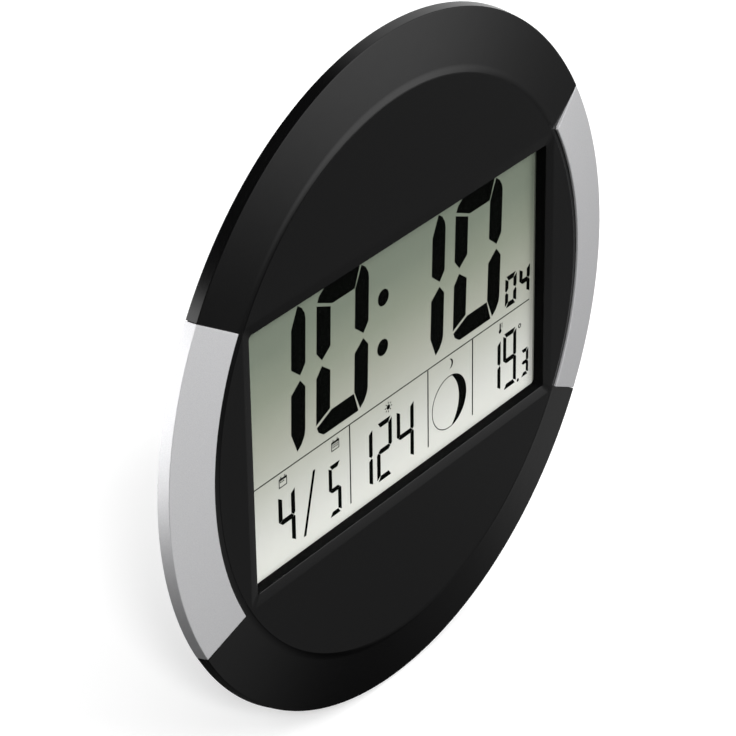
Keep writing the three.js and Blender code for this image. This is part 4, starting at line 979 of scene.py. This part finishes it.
def add_display():
    for index, (text, left, right) in enumerate(TIME_DIGITS, 1):
        flat_piece(f"time_digit_{index}", big_digit_outlines(text, left, right))
    flat_piece("colon_upper", [round_outline(-5.4, 32.0, COLON_DOT_RADIUS)])
    flat_piece("colon_lower", [round_outline(-6.3, 9.4, COLON_DOT_RADIUS)])
    for index, (text, left, right) in enumerate(SECOND_DIGITS, 1):
        flat_piece(f"second_digit_{index}", segment_outlines(
            text, left, right, SECONDS_TOP, SECONDS_BOTTOM, SECONDS_STROKE, SECONDS_LEAN))

    flat_piece("divider_across", [bar(-100.5, 100.8, -15.95, -15.45)])
    for index, x in enumerate(DIVIDER_XS, 1):
        flat_piece(f"divider_upright_{index}",
                   [bar(x - DIVIDER_HALF, x + DIVIDER_HALF, -53.2, -16.1)])

    flat_piece("date_digit_1", segment_outlines("4", -77.4, -66.6, -25.8, -52.2, 2.5))
    flat_piece("date_stroke", [[(-54.5, -25.1), (-52.9, -25.1), (-59.9, -53.0), (-61.5, -53.0)]])
    flat_piece("date_digit_2", segment_outlines("5", -44.2, -35.9, -28.8, -53.2, 2.2))
    for index, (text, left, right) in enumerate(DAY_DIGITS, 1):
        flat_piece(f"day_digit_{index}", segment_outlines(
            text, left, right, DAY_TOP, DAY_BOTTOM, DAY_STROKE))

    label("month_label", -39.4, page_outlines(8))
    label("date_label", -74, page_outlines(3))
    label("day_label", -2.9, sun_outlines())
    label("moon_label", 41, [crescent(0, 0, 1.75, -0.9, 1.9)])
    label("temperature_label", 78.6, thermometer_outlines())

    flat_piece("moon_ring", [round_outline(*MOON, MOON_RADIUS, 64),
                             round_outline(*MOON, MOON_RADIUS - 0.4, 64)])
    flat_piece("moon_shade", [crescent(*MOON, MOON_RADIUS, 31.3, 16.46)])

    flat_piece("temperature_digit_1", segment_outlines("1", 69.0, 79.05, -25.8, -51.2, 2.3))
    flat_piece("temperature_digit_2", segment_outlines("9", 81.05, 91.05, -24.6, -52.2, 2.3))
    flat_piece("temperature_point", [round_outline(92.6, -52.2, 0.8, 20)])
    flat_piece("temperature_digit_3", segment_outlines("3", 94.8, 100.6, -38.8, -52.2, 1.8))
    flat_piece("degree_ring", [round_outline(*DEGREE, 1.1, 28), round_outline(*DEGREE, 0.6, 28)])


add_display()


# Back: the keys, the screws, the cells, the dish and the door

# Head radius, head height, shank radius and length
HOUSING_SCREW = (2.8, 2.2, 1.2, 10)
BOARD_SCREW = (1.9, 1.3, 0.7, 4)
HOLDER_SCREW = (2.3, 1.6, 0.9, 6.5)
BOARD_SCREW_PLACES = ((-70, 15.77), (-70, 58.77), (70, 15.77), (70, 58.77))
HOLDER_SCREW_PLACES = ((-60.855, 73.17), (60.855, 73.17), (-60.855, -64.77), (60.855, -64.77))


def push_key(key, x, radius, y_crown):
    """A push key: dished crown with a soft shoulder, collar inside the housing, stem."""
    collar, y_collar_end = radius + KEY_COLLAR_REACH, Y_KEY_COLLAR - 1.2
    profile = [
        (0.3, y_crown - 0.35), (0.5 * radius, y_crown - 0.24), (0.72 * radius, y_crown - 0.08),
        (radius - 0.72, y_crown), (radius - 0.4, y_crown - 0.06), (radius - 0.14, y_crown - 0.24),
        (radius, y_crown - 0.55), (radius, Y_KEY_COLLAR + 0.2), (radius + 0.2, Y_KEY_COLLAR),
        (collar - 0.15, Y_KEY_COLLAR), (collar, Y_KEY_COLLAR - 0.15),
        (collar, y_collar_end + 0.15), (collar - 0.15, y_collar_end),
        (KEY_STEM_RADIUS + 0.4, y_collar_end), (KEY_STEM_RADIUS, y_collar_end - 0.4),
        (KEY_STEM_RADIUS, Y_KEY_STEM + 0.3), (KEY_STEM_RADIUS - 0.3, Y_KEY_STEM),
        (0.3, Y_KEY_STEM)]
    piece = turned(f"{key}_push_key", profile, 48, (x, KEY_ROW_Z), closed=False)
    stand_for(piece, f"button_{key}", f"{key}_key")


def screw(node, x, z, y_seat, sizes):
    """A pan head screw with a cross recess and a thread on its shank."""
    head_radius, head_height, shank_radius, length = sizes
    root_radius, pitch = 0.74 * shank_radius, 0.9 * shank_radius
    y_head = y_seat + 0.1
    y_tip = y_head - length
    y = y_tip + 0.5
    profile = [(0.2, y_tip), (0.55 * shank_radius, y)]
    while y + pitch < y_head - 0.3:
        profile += [(root_radius, y + 0.1 * pitch), (shank_radius, y + 0.42 * pitch),
                    (shank_radius, y + 0.5 * pitch), (root_radius, y + 0.82 * pitch)]
        y += pitch
    profile += [(root_radius, y_head), (head_radius - 0.12, y_head), (head_radius, y_head + 0.12)]
    profile += [(head_radius * math.cos(a), y_head + head_height * (0.35 + 0.65 * math.sin(a)))
                for a in (math.radians(12 * i) for i in range(7))]
    profile += [(0.2 * head_radius, y_head + head_height)]
    piece = turned(f"{node}_turned", profile, 32, (x, z), closed=False)
    reach, half = 0.6 * head_radius, 0.13 * head_radius
    recess = (y_head + 0.4 * head_height, y_head + head_height + 1)
    for wide, tall in ((reach, half), (half, reach)):
        carve(piece, block("recess", (x - wide, x + wide), recess, (z - tall, z + tall)))
    stand_for(piece, node, "housing")


def cell(node, nub_way, z):
    """An AA cell: crimped steel ends with rounded shoulders, and a domed nub."""
    half, radius, nub = CELL_LENGTH / 2, CELL_RADIUS, CELL_NUB_RADIUS
    profile = [
        (0.3, 0.18 - half), (radius - 2.4, 0.18 - half), (radius - 2.0, -half),
        (radius - 0.75, -half), (radius - 0.3, 0.1 - half), (radius - 0.06, 0.4 - half),
        (radius - 0.02, 0.9 - half), (radius, 1.3 - half), (radius, half - 2.7),
        (radius - 0.02, half - 2.3), (radius - 0.1, half - 1.8), (radius - 0.45, half - 1.42),
        (radius - 0.9, half - 1.32), (nub + 0.4, half - 1.3), (nub + 0.05, half - 1.05),
        (nub - 0.05, half - 0.45), (nub - 0.4, half - 0.08), (nub - 0.9, half), (0.3, half)]
    piece = turned(f"{node}_cell", profile, 72, closed=False)
    piece.rotation_euler = (0, 0, -nub_way * math.pi / 2)
    piece.location = (nub_way * CELL_SHIFT * MM, Y_CELL * MM, z * MM)
    alone(piece)
    bpy.ops.object.transform_apply(location=True, rotation=True, scale=True)
    stand_for(piece, node, "housing")


def from_solid(node, body, y_outer, rounding):
    """A copy of a solid's mesh, its flat faces made whole and its outer plane's edges rounded."""
    piece = nodes[node].copy()
    piece.data = nodes[node].data.copy()
    piece.parent = None
    for key in list(piece.keys()):
        if key.startswith("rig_"):
            del piece[key]
    bpy.context.scene.collection.objects.link(piece)
    piece.name = piece.data.name = f"{node}_moulding"

    def on_outer_plane(middle, way):
        return abs(middle.y - y_outer) < SAME_DEPTH and abs(way.y) < SAME_DEPTH

    with shaping(piece):
        bpy.ops.mesh.remove_doubles(threshold=1e-6)
        bpy.ops.mesh.dissolve_limited(angle_limit=math.radians(0.05))
    with shaping_picked(piece, "EDGE", on_outer_plane):
        bpy.ops.mesh.bevel(offset=rounding * MM, segments=2, clamp_overlap=True)
    with shaping(piece):
        bpy.ops.mesh.select_all(action="DESELECT")
        bpy.ops.mesh.edges_select_sharp(sharpness=math.radians(REAR_SHARP_ANGLE))
        bpy.ops.mesh.mark_sharp()
    stand_for(piece, node, body, REAR_SHARP_ANGLE)


for key, x in KEY_PLACES.items():
    push_key(key, x, KEY_RADIUS, Y_KEY_CROWN)
push_key("reset", RESET_KEY_PLACE, RESET_KEY_RADIUS, Y_RESET_KEY_CROWN)

for kind, places, y_seat, sizes in (
        ("housing_screw", housing_screw_places(), Y_WELL_SEAT, HOUSING_SCREW),
        ("board_screw", BOARD_SCREW_PLACES, Y_BOARD_BACK, BOARD_SCREW),
        ("holder_screw", HOLDER_SCREW_PLACES, Y_HOLDER_EAR, HOLDER_SCREW)):
    for index, (x, z) in enumerate(places, 1):
        screw(f"{kind}_{index}", x, z, y_seat, sizes)

cell("battery_upper", 1, CELL_ROWS_Z[0])
cell("battery_lower", -1, CELL_ROWS_Z[1])

from_solid("rear_housing", "housing", 0, 0.4)
from_solid("battery_door", "door", -0.3, 0.3)


# Floor, lamps and world

FLOOR_SIZE = 12
FLOOR_DROP = 0.2
FLOOR_WHITE = 0.82
# Light that the camera alone sees on the floor, so that only its deepest shadows show
FLOOR_GLOW = 0.262

# Name, place, aim, size and power
LAMPS = (
    ("key_lamp", (0.2, -2.6, 2.35), (0, 0, 0), 2, 66),
    ("fill_lamp", (-2, -2, 1.9), (0, 0, 0), 0.45, 44),
    ("top_lamp", (0, -0.02, 2.5), (0, -0.02, 0), 3, 44),
)

# Soft boxes that only reflections see: direction, full within and gone beyond in degrees, strength
SOFT_BOXES = (
    ((0.80, -0.22, -0.55), 2.5, 6.5, 0.22),
    ((0.719, -0.474, -0.508), 0.3, 2, 0.15),
    ((0.69, -0.38, -0.615), 0.5, 3, 0.1),
)


def add_floor():
    bpy.ops.mesh.primitive_plane_add(
        size=FLOOR_SIZE, location=(0, 0, -(RIM_RADIUS + FLOOR_DROP) * MM))
    floor = started("floor")
    floor.visible_glossy = floor.visible_diffuse = False
    p = paint("floor_paper")
    camera_ray = p.out(p.node("ShaderNodeLightPath"), "Is Camera Ray")
    diffuse = p.node("ShaderNodeBsdfDiffuse", None, {"Color": grey(FLOOR_WHITE)})
    glow = p.node("ShaderNodeEmission", None, {
        "Color": grey(1), "Strength": FLOOR_GLOW * camera_ray})
    both = p.node("ShaderNodeAddShader", None, {0: p.out(diffuse), 1: p.out(glow)})
    floor.data.materials.append(p.finish(p.out(both)))


def add_world():
    """White for the camera, a room of soft lights in reflections, and soft light for the rest.

    to_right is a direction's bearing in degrees, from straight before the face to its right, and up
    is the sine of its height.
    """
    world = bpy.data.worlds.new("studio")
    bpy.context.scene.world = world
    p = Paint(world)
    rays = p.node("ShaderNodeLightPath")
    camera_ray, glossy_ray = p.out(rays, "Is Camera Ray"), p.out(rays, "Is Glossy Ray")
    toward = p.out(p.node("ShaderNodeTexCoord"), "Generated")
    apart = p.node("ShaderNodeSeparateXYZ", None, {0: toward})
    across, depth, up = [p.out(apart, axis) for axis in "XYZ"]
    to_right = p.maths("ARCTAN2", across, 0 - depth) * (180 / math.pi)
    behind = p.smooth(depth, 0.1, 0.3)

    def band(value, start, full, ebbing, end):
        """0 up to start, 1 from full to ebbing and 0 again from end on."""
        return p.smooth(value, start, full) * (1 - p.smooth(value, ebbing, end))

    def soft_box(direction, near, far, strength):
        along = p.out(p.node("ShaderNodeVectorMath", {"operation": "DOT_PRODUCT"}, {
            0: toward, 1: Vector(direction).normalized()}), "Value")
        return strength * p.smooth(
            along, math.cos(math.radians(far)), math.cos(math.radians(near)))

    # A wide window at the front right, from below the horizon up
    window = band(to_right, 27, 37, 48, 66) * p.smooth(up, -0.395, -0.2) \
        * p.smooth(to_right + 90 * up, -6, 20)

    # The dim room below it: a third darker at the far left, and dimmer again at the side
    far_left = (1 - p.smooth(to_right, 36, 46)) * band(up, -0.5, -0.4, -0.33, -0.25)
    low = 0.13 * p.smooth(up, -0.7, -0.48) * (1 - 0.35 * far_left)
    side = 0.075 * (1 - 0.6 * p.smooth(to_right, 76, 84))
    side_on = p.smooth(to_right, 67, 71.5)
    room = (low * (1 - side_on) + side * side_on) * (1 - 0.9 * p.smooth(up, 0, 0.4))

    # A pale patch in front, low down
    low_left = 0.2 * band(to_right, 0, 15, 43, 54) * band(up, -0.85, -0.62, -0.56, -0.46)

    # Bright walls behind the clock
    left_wall = 4.3 * behind * p.smooth(0 - across, -0.1, 0.5) * band(up, -0.75, -0.1, 0.42, 0.6)
    right_wall = 0.8 * behind * p.smooth(across, 0.3, 0.75) * p.smooth(up, -0.6, -0.25)

    gloss = room + low_left + 1.15 * window + left_wall + right_wall
    for box in SOFT_BOXES:
        gloss = gloss + soft_box(*box)

    # For matt surfaces: a little all around, more from above, from the front and from behind
    from_front = 0.3 * across - 0.93 * depth + 0.15 * up
    from_behind = 0.75 * depth + 0.5 * across + 0.3 * up
    soft = 0.03 + 0.25 * p.smooth(up, -0.1, 0.9) + 0.7 * p.smooth(from_front, 0.45, 1) \
        + 0.4 * p.smooth(from_behind, 0.4, 1)

    strength = camera_ray + (1 - camera_ray) * (gloss * glossy_ray + soft * (1 - glossy_ray))
    background = p.node("ShaderNodeBackground", None, {"Color": grey(1), "Strength": strength})
    p.node("ShaderNodeOutputWorld", None, {"Surface": p.out(background)})


def add_lamp(name, place, aim, size, power):
    """A round soft lamp that reflections don't show."""
    data = bpy.data.lights.new(name, "AREA")
    data.shape, data.size, data.energy = "DISK", size, power
    lamp = bpy.data.objects.new(name, data)
    bpy.context.scene.collection.objects.link(lamp)
    lamp.location = place
    lamp.rotation_mode = "QUATERNION"
    lamp.rotation_quaternion = (Vector(aim) - Vector(place)).to_track_quat("-Z", "Y")
    lamp.visible_glossy = False


add_floor()
add_world()
for lamp in LAMPS:
    add_lamp(*lamp)

bpy.context.scene.view_settings.view_transform = "Standard"
